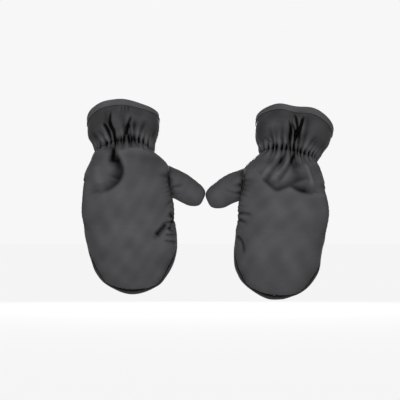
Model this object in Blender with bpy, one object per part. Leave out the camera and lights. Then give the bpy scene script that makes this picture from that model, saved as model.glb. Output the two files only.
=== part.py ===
"""A pair of padded hand muffs, worn over a push grip. The left one mirrors the right one.

Each muff is a mitten with a gathered wrist, a flared cuff, a thumb pocket and a passage across the palm.
The passage is open at the back, where a flap covers it and closes with press studs.
Run it with: blender --background --python part.py
"""

import math

import bmesh
import bpy
import numpy as np
from mathutils import Matrix, Vector

# Lift and tilt of each muff on the passage's line
LEFT_LIFT = 0.003
RIGHT_LIFT = -0.006
LEFT_TILT_DEGREES = 2.4
RIGHT_TILT_DEGREES = 5.7

# Outline of a muff: heights are from its own origin, widths and depths are halves
WAIST_HEIGHT = 0.080
CUFF_HEIGHT = 0.046
BELLY_DROP = 0.032
TIP_DROP = 0.137
HEM_HALF_WIDTH = 0.0520
CUFF_HALF_WIDTH = 0.0545
WAIST_HALF_WIDTH = 0.0425
BODY_HALF_WIDTH = 0.0705
RIDGE_HALF_WIDTH = 0.030
HEM_HALF_DEPTH = 0.036
CUFF_HALF_DEPTH = 0.038
WAIST_HALF_DEPTH = 0.027
BODY_HALF_DEPTH = 0.047
HEM_SET_BACK = 0.027
WAIST_SET_BACK = 0.012
BODY_SET_BACK = -0.004
RIDGE_SAG = 0.012
WRIST_LEAN = 0.012
WRIST_BOW = 0.006
HEM_BOW = 0.016
HEM_SPLAY = 0.006
RING_POWER = 2.4
POUCH_POWER = 1.3
EYE_POWER = 4
CUFF_BELLY_SHARE = 0.53
SHOULDER_HEIGHT_SHARE = 0.65
SHOULDER_WIDTH_SHARE = 0.84
SHOULDER_DEPTH_SHARE = 0.86
SHOULDER_RISE_SHARE = 0.35
MIDDLE_WIDTH_SHARE = 0.985

# Cloth layers, from the outside in; the pinch's reach below the waist is in stations
SHELL_THICKNESS = 0.0010
WADDING_THICKNESS = 0.0042
LINING_THICKNESS = 0.0018
LAYER_GAP = 0.0003
SEAM_GAP = 0.0003
SEAM_PINCH_SHARE = 0.6
PINCH_REACH_SHARE = 0.7

# Gathers at the wrist, which reach a share of a station up and down
GATHER_COUNT = 12
GATHER_DEPTH = 0.0013
GATHER_REACH_SHARE = 0.9
ELASTIC_WIDTH = 0.007
ELASTIC_THICKNESS = 0.0024

# Binding round the cuff's hem
BINDING_WIDTH = 0.007
BINDING_THICKNESS = 0.0008

# Passage across the palm, with an elastic strip along its front edge at each side
PASSAGE_RISE = 0.003
PASSAGE_HALF_HEIGHT = 0.033
PASSAGE_HALF_DEPTH = 0.022
EYE_HALF_HEIGHT = 0.040
STRIP_WIDTH = 0.004
STRIP_THICKNESS = 0.0024

# Flap behind the passage
FLAP_HALF_WIDTH = 0.038
FLAP_OFFSET = 0.012
FLAP_SEAM_DROP = 0.045
FLAP_TOP_HEIGHT = 0.055

# Press studs that hold the flap's top edge, at a distance under it
SNAP_DROP = 0.010
SNAP_HEIGHT = FLAP_TOP_HEIGHT - SNAP_DROP
SNAP_PITCH = 0.036
SNAP_COUNT = 2
STUD_RADIUS = 0.0046
STUD_FLANGE = 0.0008
STUD_KNOB_RADIUS = 0.0021
STUD_KNOB_HEIGHT = 0.0010
SOCKET_RADIUS = 0.0050
SOCKET_BORE_RADIUS = 0.0026
SOCKET_THICKNESS = 0.0010
CAP_RADIUS = 0.0062
CAP_THICKNESS = 0.0016
CAP_ROUNDING = 0.0006
SNAP_GAP = 0.0005

# Thumb pocket, from its root inside the muff to its tip; the set-back is behind the passage's line
THUMB_ROOT_OFFSET = 0.034
THUMB_ROOT_HEIGHT = 0.040
THUMB_ROOT_SET_BACK = 0.019
THUMB_TIP_OFFSET = 0.1115
THUMB_TIP_HEIGHT = 0.001
THUMB_TIP_SET_BACK = 0.039
THUMB_HALF_HEIGHT = 0.0225
THUMB_HALF_DEPTH = 0.0160
# Shares of the way from root to tip: sideways, down and back
THUMB_ROUTE_SHARES = (
    (0.0, 0.0, 0.0),
    (0.27, 0.22, 0.55),
    (0.54, 0.44, 0.92),
    (0.78, 0.76, 1.02),
    (1.0, 1.0, 1.0),
)
THUMB_TAPER_SHARE = 0.26
THUMB_ROUND_SHARE = 0.74

# The muffs hang as far apart as their thumb pockets' tips need: each tip's distance from the pair's middle
THUMB_TIP_CLEARANCE = 0.003
MUFF_SPREAD = THUMB_TIP_OFFSET + THUMB_TIP_CLEARANCE

# Counts of faces
HALF_COLUMNS = 12
FRONT_ROWS = 14
HEEL_ROWS = 4
FINGER_ROWS = 7
CUFF_ROWS = 4
FLAP_COLUMNS = 8
FLAP_ROWS = 7
THUMB_SIDES = 12
THUMB_BODY_ROWS = 6
THUMB_CAP_ROWS = 4
SNAP_SIDES = 10

# Station coordinates along a muff, from the hem to the fingertip seam
HEM, CUFF_BELLY, WAIST, SHOULDER, MIDDLE, BELLY, RIDGE = range(7)
QUARTER = math.pi / 2
TINY_STEP = 1e-4
RIDGE_MARGIN = 0.02
SAMPLES = 600
SHARP_EDGE_DEGREES = 50

# Colours
CHARCOAL = (0.072, 0.070, 0.073)
OFF_WHITE = (0.80, 0.80, 0.78)
DARK_FLEECE = (0.055, 0.055, 0.058)
BLACK = (0.020, 0.020, 0.022)
GUNMETAL = (0.060, 0.060, 0.065)

# Depths of each layer's outer and inner faces under the muff's outer face
SHELL_DEPTHS = (0, SHELL_THICKNESS)
WADDING_DEPTHS = (SHELL_DEPTHS[1] + LAYER_GAP, SHELL_DEPTHS[1] + LAYER_GAP + WADDING_THICKNESS)
LINING_DEPTHS = (WADDING_DEPTHS[1] + LAYER_GAP, WADDING_DEPTHS[1] + LAYER_GAP + LINING_THICKNESS)
CUFF_LINING_DEPTHS = (SHELL_DEPTHS[1] + LAYER_GAP, SHELL_DEPTHS[1] + LAYER_GAP + LINING_THICKNESS)

# Heights over the heel panel of the stud's flange and of the flap's inner face, and the flap's thickness
FLANGE_TOP = SNAP_GAP + STUD_FLANGE
SNAP_STACK = FLANGE_TOP + SNAP_GAP
FLAP_THICKNESS = LINING_THICKNESS + LAYER_GAP + SHELL_THICKNESS

# One value for each station but the last, which the fingertip's curve makes
STATION_HEIGHTS = (
    WAIST_HEIGHT + CUFF_HEIGHT,
    WAIST_HEIGHT + CUFF_BELLY_SHARE * CUFF_HEIGHT,
    WAIST_HEIGHT,
    SHOULDER_HEIGHT_SHARE * WAIST_HEIGHT,
    0,
    -BELLY_DROP,
)
STATION_WIDTHS = (
    HEM_HALF_WIDTH,
    CUFF_HALF_WIDTH,
    WAIST_HALF_WIDTH,
    SHOULDER_WIDTH_SHARE * BODY_HALF_WIDTH,
    MIDDLE_WIDTH_SHARE * BODY_HALF_WIDTH,
    BODY_HALF_WIDTH,
)
STATION_DEPTHS = (
    HEM_HALF_DEPTH,
    CUFF_HALF_DEPTH,
    WAIST_HALF_DEPTH,
    SHOULDER_DEPTH_SHARE * BODY_HALF_DEPTH,
    BODY_HALF_DEPTH,
    BODY_HALF_DEPTH,
)
STATION_SET_BACKS = (
    HEM_SET_BACK,
    (1 - CUFF_BELLY_SHARE) * WAIST_SET_BACK + CUFF_BELLY_SHARE * HEM_SET_BACK,
    WAIST_SET_BACK,
    SHOULDER_RISE_SHARE * WAIST_SET_BACK,
    BODY_SET_BACK,
    BODY_SET_BACK,
)
STATION_LEANS = (WRIST_LEAN, WRIST_LEAN, WRIST_LEAN, SHOULDER_RISE_SHARE * WRIST_LEAN, 0, 0)
STATION_BOWS = (
    HEM_BOW,
    (1 - CUFF_BELLY_SHARE) * WRIST_BOW + CUFF_BELLY_SHARE * HEM_BOW,
    WRIST_BOW,
    SHOULDER_RISE_SHARE * WRIST_BOW,
    0,
    0,
)
STATION_SPLAYS = (HEM_SPLAY, CUFF_BELLY_SHARE * HEM_SPLAY, 0, 0, 0, 0)


def clear_scene():
    for item in list(bpy.data.objects):
        bpy.data.objects.remove(item)


def smooth_through(place, values):
    """Smooth curve through the values at places 0, 1, 2 and so on, level at the last value."""
    values = np.asarray(values, float)
    slopes = np.gradient(values)
    slopes[-1] = 0
    low = np.clip(np.floor(place).astype(int), 0, len(values) - 2)
    t = place - low
    start = (2 * t**3 - 3 * t**2 + 1) * values[low] + (t**3 - 2 * t**2 + t) * slopes[low]
    end = (3 * t**2 - 2 * t**3) * values[low + 1] + (t**3 - t**2) * slopes[low + 1]
    return start + end


def outline_at(along):
    """Height, half width and half depth of the ring at a station coordinate.

    Above the belly the ring follows the stations. Below it, height and depth follow a quarter ellipse."""
    upper = np.clip(along, HEM, BELLY)
    turn = np.clip(along - BELLY, 0, 1) * QUARTER
    height = smooth_through(upper, STATION_HEIGHTS) - (TIP_DROP - BELLY_DROP) * np.sin(turn)
    width = smooth_through(upper, STATION_WIDTHS)
    width = RIDGE_HALF_WIDTH + (width - RIDGE_HALF_WIDTH) * np.maximum(np.cos(turn), 0) ** POUCH_POWER
    depth = smooth_through(upper, STATION_DEPTHS) * np.maximum(np.cos(turn), 0)
    return height, width, depth


def shift_at(along):
    """Sideways splay, set-back, lean, bow and sag of the ring at a station coordinate."""
    upper = np.clip(along, HEM, BELLY)
    turn = np.clip(along - BELLY, 0, 1) * QUARTER
    tables = (STATION_SPLAYS, STATION_SET_BACKS, STATION_LEANS, STATION_BOWS)
    return [smooth_through(upper, table) for table in tables] + [RIDGE_SAG * np.sin(turn) ** 2]


def ring_shares(around):
    """Sideways and forward shares of a rounded square ring. around is 0 in front, QUARTER outside."""
    sine, cosine = np.sin(around), np.cos(around)
    size = (np.abs(sine) ** RING_POWER + np.abs(cosine) ** RING_POWER) ** (1 / RING_POWER)
    return sine / size, cosine / size


def surface(around, along):
    """Points of a muff's outer face: x outwards, y away from the front, z up."""
    height, width, depth = outline_at(along)
    splay, set_back, lean, bow, sag = shift_at(along)
    across, ahead = ring_shares(around)
    lift = lean * np.cos(around) + bow * np.cos(around) ** 2 + sag * across**2
    return np.stack([splay + width * across, set_back - depth * ahead, height + lift], axis=-1)


def normals(around, along):
    """Outward directions of the outer face. At the fingertip seam they lie in the seam's plane."""
    kept = np.minimum(along, RIDGE - RIDGE_MARGIN)
    by_around = surface(around + TINY_STEP, kept) - surface(around - TINY_STEP, kept)
    by_along = surface(around, kept + TINY_STEP) - surface(around, np.maximum(kept - TINY_STEP, HEM))
    found = np.cross(by_along, by_around)
    found[..., 1] *= along < RIDGE
    return found / np.linalg.norm(found, axis=-1, keepdims=True)


def pinch(around, along):
    """Share of their thickness that the layers keep: less near the seams, the fingertips and the wrist."""
    across, _ = ring_shares(around)
    turn = np.clip(along - BELLY, 0, 1) * QUARTER
    near_waist = np.clip(1 - (along - WAIST) / PINCH_REACH_SHARE, 0, 1)
    open_share = (1 - across**4) * (1 - np.sin(turn) ** 4) * (1 - near_waist**2)
    return SEAM_PINCH_SHARE + (1 - SEAM_PINCH_SHARE) * open_share


def gathers(around, along):
    """Height of the wrist's gathers, which fade away from the elastic on both sides."""
    fade = np.clip(1 - np.abs(along - WAIST) / GATHER_REACH_SHARE, 0, 1) ** 2
    return GATHER_DEPTH * np.cos(GATHER_COUNT * around) * fade


def cloth(around, along, depth, pinched=True):
    """Points at a depth under the gathered outer face."""
    around, along = np.broadcast_arrays(np.asarray(around, float), np.asarray(along, float))
    share = pinch(around, along) if pinched else np.ones_like(along)
    reach = gathers(around, along) - depth * share
    return surface(around, along) + reach[..., None] * normals(around, along)


def along_at(height):
    """Station coordinate of a height at a muff's side."""
    places = np.linspace(HEM, RIDGE, SAMPLES)
    return float(np.interp(-height, -outline_at(places)[0], places))


# Where the body's panels start and stop along the muff
BODY_START = along_at(WAIST_HEIGHT - ELASTIC_WIDTH / 2 - SEAM_GAP)
HEEL_SPAN = (BODY_START, along_at(PASSAGE_RISE + PASSAGE_HALF_HEIGHT))
FINGER_START = along_at(PASSAGE_RISE - PASSAGE_HALF_HEIGHT)


def even_rows(start, stop, count):
    """Station coordinates from start to stop, spaced evenly along the front of the muff."""
    places = np.linspace(start, stop, SAMPLES)
    points = surface(np.zeros(SAMPLES), places)
    run = np.concatenate([[0], np.cumsum(np.linalg.norm(np.diff(points, axis=0), axis=1))])
    return np.interp(np.linspace(0, run[-1], count + 1), run, places)


def back_around(across):
    """Angle at the back whose ring has this sideways share."""
    ahead = np.maximum(1 - np.abs(across) ** RING_POWER, 0) ** (1 / RING_POWER)
    return np.arctan2(across, -ahead) % (4 * QUARTER)


def eye_shares(along):
    """Forward share at which the front panel ends, so that the passage's side mouths stay open."""
    height, _, depth = outline_at(along)
    set_back = shift_at(along)[1]
    rise = (height - PASSAGE_RISE) / EYE_HALF_HEIGHT
    reach = np.clip(1 - rise**EYE_POWER, 0, 1) ** (1 / EYE_POWER)
    edge = PASSAGE_HALF_DEPTH + STRIP_WIDTH + SEAM_GAP + set_back
    return edge / depth * reach


def edge_around(ahead):
    """Angle on the outer side whose ring has this forward share."""
    return np.arctan2((1 - ahead**RING_POWER) ** (1 / RING_POWER), ahead)


def mesh_object(name, points, faces, frame, material):
    """Named closed solid in a muff's frame, faces outwards."""
    shape = bmesh.new()
    corners = [shape.verts.new(point) for point in points]
    for face in faces:
        shape.faces.new([corners[index] for index in face])
    bmesh.ops.recalc_face_normals(shape, faces=shape.faces)
    mesh = bpy.data.meshes.new(name)
    shape.to_mesh(mesh)
    shape.free()
    mesh.shade_smooth()
    mesh.set_sharp_from_angle(angle=math.radians(SHARP_EDGE_DEGREES))
    if material:
        mesh.materials.append(material)
    made = bpy.data.objects.new(name, mesh)
    bpy.context.scene.collection.objects.link(made)
    made.parent = frame["empty"]
    return made


def grid_faces(rows, columns, start, ring, flip):
    """Triangles over a grid of points, two for each cell, split the same way on every layer."""
    faces = []
    across = columns if ring else columns - 1
    for row in range(rows - 1):
        for column in range(across):
            beside = (column + 1) % columns
            a, b = start + row * columns + column, start + row * columns + beside
            c, d = b + columns, a + columns
            pair = [(a, b, c), (a, c, d)]
            faces += [face[::-1] for face in pair] if flip else pair
    return faces


def rim_faces(rows, columns, under, ring):
    """Faces that join the edges of an upper grid to those of the grid under it."""
    def strip(edge):
        return [(a, b, under + b, under + a) for a, b in zip(edge[:-1], edge[1:])]

    first = list(range(columns))
    last = [(rows - 1) * columns + column for column in range(columns)]
    if ring:
        return strip(first + first[:1]) + strip(last + last[:1])
    left = [row * columns for row in range(rows)]
    right = [row * columns + columns - 1 for row in range(rows)]
    return strip(first) + strip(last) + strip(left) + strip(right)


def slab(name, over, under, frame, material, ring=False):
    """Closed solid between two grids of points that lie over each other."""
    rows, columns = over.shape[:2]
    points = np.concatenate([over.reshape(-1, 3), under.reshape(-1, 3)])
    points = points * (frame["side"], 1, 1)
    count = rows * columns
    faces = grid_faces(rows, columns, 0, ring, False) + grid_faces(rows, columns, count, ring, True)
    return mesh_object(name, points, faces + rim_faces(rows, columns, count, ring), frame, material)


def panel(name, grid, depths, frame, material, shift=0.0, pinched=True, ring=False):
    """One layer of cloth over a grid of the muff, between two depths, shifted away from the seam plane."""
    moved = np.array([0, shift, 0])
    over = cloth(*grid, depths[0], pinched) + moved
    under = cloth(*grid, depths[1], pinched) + moved
    return slab(name, over, under, frame, material, ring)


def ring_grid(along):
    """Angles all the way round at each station coordinate, for a piece that is a full ring."""
    around = np.arange(2 * HALF_COLUMNS) * 2 * QUARTER / HALF_COLUMNS
    return np.broadcast_arrays(around[None, :], np.asarray(along, float)[:, None])


def front_grid():
    """Angles and station coordinates of the front panel, whose side edges bow forward round the passage."""
    along = even_rows(BODY_START, RIDGE, FRONT_ROWS)
    edge = edge_around(eye_shares(along))
    return np.broadcast_arrays(edge[:, None] * np.linspace(-1, 1, HALF_COLUMNS + 1), along[:, None])


def back_grid(start, stop, count):
    """Angles and station coordinates of a panel over the whole back."""
    around = np.linspace(QUARTER, 3 * QUARTER, HALF_COLUMNS + 1)
    return np.broadcast_arrays(around[None, :], even_rows(start, stop, count)[:, None])


def layered(stem, grid, shift, frame, materials):
    """Outer shell, wadding and lining of one panel."""
    layers = (
        ("shell", SHELL_DEPTHS, materials["shell"]),
        ("wadding", WADDING_DEPTHS, materials["wadding"]),
        ("lining", LINING_DEPTHS, materials["fleece"]),
    )
    return [
        panel(f"{frame['name']}_{stem}_{layer}", grid, depths, frame, material, shift)
        for layer, depths, material in layers
    ]


def side_strips(frame, materials):
    """Elastic strips along the front panel's edges, one at each mouth of the passage."""
    _, along = front_grid()
    along = along[:, 0]
    depth = outline_at(along)[2]
    outer_edge = eye_shares(along) - SEAM_GAP / depth
    inner_edge = outer_edge - STRIP_WIDTH / depth
    kept = inner_edge > 0
    along, outer_edge, inner_edge = along[kept], outer_edge[kept], inner_edge[kept]
    around = np.stack([edge_around(inner_edge), edge_around(outer_edge)], axis=1)
    depths = (0, STRIP_THICKNESS)
    for place_name, side in (("outer", 1), ("inner", -1)):
        name = f"{frame['name']}_{place_name}_mouth_elastic"
        grid = (side * around, along[:, None] * np.ones(2))
        panel(name, grid, depths, frame, materials["elastic"], -SEAM_GAP / 2, pinched=False)


def cuff(frame, materials):
    """Cuff shell and lining between the hem and the wrist elastic, both full rings."""
    stop = along_at(WAIST_HEIGHT + ELASTIC_WIDTH / 2 + SEAM_GAP)
    grid = ring_grid(even_rows(HEM, stop, CUFF_ROWS))
    for layer, depths, slot in (("shell", SHELL_DEPTHS, "shell"), ("lining", CUFF_LINING_DEPTHS, "fleece")):
        name = f"{frame['name']}_cuff_{layer}"
        panel(name, grid, depths, frame, materials[slot], pinched=False, ring=True)


def wrist_elastic(frame, materials):
    """Gathered elastic ring between the cuff and the body."""
    start = along_at(WAIST_HEIGHT + ELASTIC_WIDTH / 2)
    stop = along_at(WAIST_HEIGHT - ELASTIC_WIDTH / 2)
    depths = (LAYER_GAP, LAYER_GAP + ELASTIC_THICKNESS)
    name = f"{frame['name']}_wrist_elastic"
    panel(name, ring_grid([start, stop]), depths, frame, materials["elastic"], pinched=False, ring=True)


def hem_binding(frame, materials):
    """Folded band over the cuff's top edge: down the outside, over the edge and down the inside."""
    low = along_at(WAIST_HEIGHT + CUFF_HEIGHT - BINDING_WIDTH)
    outside, inside = -LAYER_GAP, CUFF_LINING_DEPTHS[1] + LAYER_GAP
    over_edge = LAYER_GAP + BINDING_THICKNESS
    # Each corner of the section: station coordinate, depth under the face and height over the hem
    section = (
        (low, outside, 0),
        (HEM, outside, LAYER_GAP),
        (HEM, inside, LAYER_GAP),
        (low, inside, 0),
        (low, inside + BINDING_THICKNESS, 0),
        (HEM, inside + BINDING_THICKNESS, over_edge),
        (HEM, outside - BINDING_THICKNESS, over_edge),
        (low, outside - BINDING_THICKNESS, 0),
    )
    along, depth, over = (np.array(column, float)[:, None] for column in zip(*section))
    around, along = ring_grid(along[:, 0])
    up = surface(around, np.zeros_like(along)) - surface(around, np.full_like(along, TINY_STEP))
    up /= np.linalg.norm(up, axis=-1, keepdims=True)
    loops = cloth(around, along, depth, pinched=False) + over[..., None] * up
    rows, columns = loops.shape[:2]
    around_section = grid_faces(rows + 1, columns, 0, True, False)
    faces = [tuple(index % (rows * columns) for index in face) for face in around_section]
    points = loops.reshape(-1, 3) * (frame["side"], 1, 1)
    mesh_object(f"{frame['name']}_hem_binding", points, faces, frame, materials["shell"])


def thumb_rings(inset):
    """Rings of the thumb pocket at a depth under its outer face, from the root to its rounded tip."""
    root = np.array([-THUMB_ROOT_OFFSET, THUMB_ROOT_SET_BACK, THUMB_ROOT_HEIGHT])
    tip = np.array([-THUMB_TIP_OFFSET, THUMB_TIP_SET_BACK, THUMB_TIP_HEIGHT])
    sideways, down, back = np.array(THUMB_ROUTE_SHARES).T
    shares = np.stack([sideways, back, down], axis=1)
    route = root + shares * (tip - root)
    body = np.linspace(0, THUMB_ROUND_SHARE, THUMB_BODY_ROWS + 1)
    turn = np.linspace(0, QUARTER, THUMB_CAP_ROWS + 1)[1:-1]
    last = 1 - inset / np.linalg.norm(tip - root)
    cap = THUMB_ROUND_SHARE + (last - THUMB_ROUND_SHARE) * np.sin(turn)
    places = np.concatenate([body, cap, [last]])
    roundness = np.concatenate([np.ones_like(body), np.cos(turn), [0]])
    spots = places * (len(route) - 1)
    centres = np.stack([smooth_through(spots, route[:, axis]) for axis in range(3)], axis=1)
    tangents = np.gradient(centres, axis=0)
    tangents /= np.linalg.norm(tangents, axis=1, keepdims=True)
    backward = np.array([0, 1, 0]) - tangents[:, 1:2] * tangents
    backward /= np.linalg.norm(backward, axis=1, keepdims=True)
    upward = np.cross(backward, tangents)
    taper = 1 - THUMB_TAPER_SHARE * places**2
    angles = np.arange(THUMB_SIDES) * 4 * QUARTER / THUMB_SIDES
    tall = ((THUMB_HALF_HEIGHT * taper - inset) * roundness)[:, None] * upward
    deep = ((THUMB_HALF_DEPTH * taper - inset) * roundness)[:, None] * backward
    high, aside = np.cos(angles)[None, :, None], np.sin(angles)[None, :, None]
    rings = centres[:, None] + tall[:, None] * high + deep[:, None] * aside
    return rings[:-1], centres[-1]


def thumb_layer(name, outset, inset, frame, material):
    """Closed-ended sleeve between two depths under the thumb pocket's face."""
    over, over_tip = thumb_rings(outset)
    under, under_tip = thumb_rings(inset)
    rows, columns = over.shape[:2]
    count = rows * columns
    points = np.concatenate([over.reshape(-1, 3), under.reshape(-1, 3), [over_tip], [under_tip]])
    points = points * (frame["side"], 1, 1)
    faces = grid_faces(rows, columns, 0, True, False) + grid_faces(rows, columns, count, True, True)
    for start, tip in ((count - columns, 2 * count), (2 * count - columns, 2 * count + 1)):
        faces += [(start + column, start + (column + 1) % columns, tip) for column in range(columns)]
    faces += [
        (column, (column + 1) % columns, count + (column + 1) % columns, count + column)
        for column in range(columns)
    ]
    return mesh_object(name, points, faces, frame, material)


def plug(name, rings, frame):
    """Closed guide solid through rings of points, capped at both ends. It only cuts other pieces."""
    count, columns = rings.shape[:2]
    points = rings.reshape(-1, 3) * (frame["side"], 1, 1)
    faces = grid_faces(count, columns, 0, True, False)
    faces += [tuple(range(columns)), tuple(range((count - 1) * columns, count * columns))]
    return as_guide(mesh_object(name, points, faces, frame, None))


def as_guide(made):
    made.hide_render = True
    made.display_type = "WIRE"
    return made


def cut(target, cutter):
    carve = target.modifiers.new("cut", "BOOLEAN")
    carve.operation = "DIFFERENCE"
    carve.object = cutter


def body_plug(frame):
    """Guide solid of the muff's body, which trims the thumb pocket's root to the body's face."""
    heel = even_rows(*HEEL_SPAN, HEEL_ROWS)
    below = even_rows(HEEL_SPAN[1], BELLY, HEEL_ROWS)[1:]
    rings = cloth(*ring_grid([*heel, *below]), -LAYER_GAP)
    return plug(f"{frame['name']}_body_guide", rings + np.array([0, SEAM_GAP / 2, 0]), frame)


def thumb(frame, materials, heel_layers):
    """Thumb pocket behind the passage: a shell and a lining, open into the muff through the heel panel."""
    name = frame["name"]
    lining_outset = SHELL_THICKNESS + LAYER_GAP
    lining_inset = lining_outset + LINING_THICKNESS
    shell = thumb_layer(f"{name}_thumb_shell", 0, SHELL_THICKNESS, frame, materials["shell"])
    lining = thumb_layer(f"{name}_thumb_lining", lining_outset, lining_inset, frame, materials["fleece"])
    guide = body_plug(frame)
    cut(shell, guide)
    cut(lining, guide)
    bore_rings, _ = thumb_rings(lining_inset)
    bore = plug(f"{name}_thumb_bore_guide", bore_rings, frame)
    for layer in heel_layers:
        cut(layer, bore)


def flap_depth(height):
    """Depth of the flap's inner face: on the finger panel at its seam, on the press studs at its top."""
    share = np.clip((height + FLAP_SEAM_DROP) / (SNAP_HEIGHT - CAP_RADIUS + FLAP_SEAM_DROP), 0, 1)
    return -(LAYER_GAP + (SNAP_STACK - LAYER_GAP) * share)


def flap_grid(out):
    """Points of a face of the flap, at a distance out from its inner face."""
    along = even_rows(along_at(FLAP_TOP_HEIGHT), along_at(-FLAP_SEAM_DROP), FLAP_ROWS)
    height, width = outline_at(along)[:2]
    sideways = FLAP_OFFSET + FLAP_HALF_WIDTH * np.linspace(1, -1, FLAP_COLUMNS + 1)
    around = back_around(sideways[None, :] / width[:, None])
    rows = along[:, None] * np.ones_like(sideways)
    depth = flap_depth(height)[:, None] - out
    return cloth(around, rows, depth, pinched=False) + np.array([0, SEAM_GAP / 2, 0])


def hinge_point():
    """Middle of the flap's sewn edge, halfway through the flap, at that edge's furthest point back."""
    edge = (flap_grid(0)[-1] + flap_grid(FLAP_THICKNESS)[-1]) / 2
    return np.array([FLAP_OFFSET, edge[:, 1].max(), edge[:, 2].mean()])


def flap(frame, materials):
    """Flap of two layers that swings down and back about its lower edge."""
    layers = (
        ("lining", 0, LINING_THICKNESS, "fleece"),
        ("shell", LINING_THICKNESS + LAYER_GAP, FLAP_THICKNESS, "shell"),
    )
    for layer, low, high, slot in layers:
        name = f"{frame['name']}_flap_{layer}"
        made = slab(name, flap_grid(high), flap_grid(low), frame, materials[slot])
        hang_on_hinge(made, frame)
        if layer == "lining":
            cut_socket_holes(made, frame)


def cut_socket_holes(lining, frame):
    """Holes through the flap's lining, in which the sockets sit."""
    radius, length = SOCKET_RADIUS + LAYER_GAP, SNAP_STACK + FLAP_THICKNESS
    drill = turned(((0, 0), (radius, 0), (radius, length), (0, length)), SNAP_SIDES)
    for guide in snap_pieces("socket_guide", drill, frame, None):
        cut(lining, as_guide(guide))


def hang_on_hinge(made, frame):
    """Parents a piece to the flap's hinge empty, with its origin on the hinge line."""
    pivot = Vector(hinge_point() * (frame["side"], 1, 1))
    made.data.transform(Matrix.Translation(-pivot))
    made.parent = frame["hinge"]


def circle_points(radius, height, sides):
    angles = np.arange(sides) * 4 * QUARTER / sides
    return np.stack([radius * np.cos(angles), radius * np.sin(angles), np.full(sides, height)], axis=1)


def turned(profile, sides):
    """Points and faces of a solid turned about +Z. Its profile, radius and height, ends on the axis."""
    rings = np.array([circle_points(radius, height, sides) for radius, height in profile[1:-1]])
    ends = [(0, 0, profile[0][1]), (0, 0, profile[-1][1])]
    count = len(rings) * sides
    faces = grid_faces(len(rings), sides, 0, True, False)
    for start, tip in ((0, count), (count - sides, count + 1)):
        faces += [(start + side, start + (side + 1) % sides, tip) for side in range(sides)]
    return np.concatenate([rings.reshape(-1, 3), ends]), faces


def washer(outer, inner, low, high, sides):
    """Points and faces of a flat ring about +Z."""
    corners = ((outer, low), (outer, high), (inner, high), (inner, low))
    rings = np.array([circle_points(radius, height, sides) for radius, height in corners])
    count = len(corners) * sides
    faces = grid_faces(len(corners) + 1, sides, 0, True, False)
    return rings.reshape(-1, 3), [tuple(index % count for index in face) for face in faces]


def snap_frames():
    """Place and outward direction of each press stud on the body's back face."""
    along = along_at(SNAP_HEIGHT)
    width = outline_at(along)[1]
    steps = (SNAP_COUNT - 1) / 2 - np.arange(SNAP_COUNT)
    around = back_around((FLAP_OFFSET + steps * SNAP_PITCH) / width)
    rows = np.full_like(around, along)
    points = cloth(around, rows, 0, pinched=False) + np.array([0, SEAM_GAP / 2, 0])
    return list(zip(points, normals(around, rows)))


def snap_pieces(stem, shape, frame, material):
    """The same small turned shape at every press stud, numbered from the outer side inwards."""
    points, faces = shape
    made = []
    for number, (spot, outward) in enumerate(snap_frames(), start=1):
        turn = Vector(outward).to_track_quat("Z", "Y").to_matrix()
        placed = np.array([turn @ Vector(point) for point in points]) + spot
        name = f"{frame['name']}_{stem}_{number}"
        made.append(mesh_object(name, placed * (frame["side"], 1, 1), faces, frame, material))
    return made


def snaps(frame, materials):
    """Studs on the heel panel, and sockets and caps on the flap."""
    stud = turned(
        (
            (0, SNAP_GAP),
            (STUD_RADIUS, SNAP_GAP),
            (STUD_RADIUS, FLANGE_TOP),
            (STUD_KNOB_RADIUS, FLANGE_TOP),
            (STUD_KNOB_RADIUS, FLANGE_TOP + STUD_KNOB_HEIGHT),
            (0, FLANGE_TOP + STUD_KNOB_HEIGHT),
        ),
        SNAP_SIDES,
    )
    socket_top = SNAP_STACK + SOCKET_THICKNESS
    socket = washer(SOCKET_RADIUS, SOCKET_BORE_RADIUS, SNAP_STACK, socket_top, SNAP_SIDES)
    cap_low = SNAP_STACK + FLAP_THICKNESS + SNAP_GAP
    cap = turned(
        (
            (0, cap_low),
            (CAP_RADIUS, cap_low),
            (CAP_RADIUS, cap_low + CAP_THICKNESS - CAP_ROUNDING),
            (CAP_RADIUS - CAP_ROUNDING, cap_low + CAP_THICKNESS),
            (0, cap_low + CAP_THICKNESS),
        ),
        SNAP_SIDES,
    )
    snap_pieces("snap_stud", stud, frame, materials["snap"])
    for stem, shape in (("snap_socket", socket), ("snap_cap", cap)):
        for made in snap_pieces(stem, shape, frame, materials["snap"]):
            hang_on_hinge(made, frame)


def make_material(name, colour, roughness, metallic=0.0):
    material = bpy.data.materials.new(name)
    material.use_nodes = True
    shader = material.node_tree.nodes["Principled BSDF"]
    shader.inputs["Base Color"].default_value = (*colour, 1)
    shader.inputs["Roughness"].default_value = roughness
    shader.inputs["Metallic"].default_value = metallic
    return material


def make_materials():
    return {
        "shell": make_material("shell_fabric", CHARCOAL, 0.5),
        "wadding": make_material("wadding", OFF_WHITE, 0.95),
        "fleece": make_material("fleece_lining", DARK_FLEECE, 0.95),
        "elastic": make_material("elastic", BLACK, 0.8),
        "snap": make_material("snap_metal", GUNMETAL, 0.35, 0.9),
    }


def make_frame(name, side, lift, tilt_degrees):
    """Empties that carry one muff and its flap."""
    empty = bpy.data.objects.new(f"{name}_muff_frame", None)
    bpy.context.scene.collection.objects.link(empty)
    empty.location = (side * MUFF_SPREAD, 0, lift)
    empty.rotation_euler = (0, side * math.radians(tilt_degrees), 0)
    hinge = bpy.data.objects.new(f"{name}_flap_hinge", None)
    bpy.context.scene.collection.objects.link(hinge)
    hinge.parent = empty
    hinge.location = hinge_point() * (side, 1, 1)
    return {"name": name, "side": side, "empty": empty, "hinge": hinge}


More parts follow.
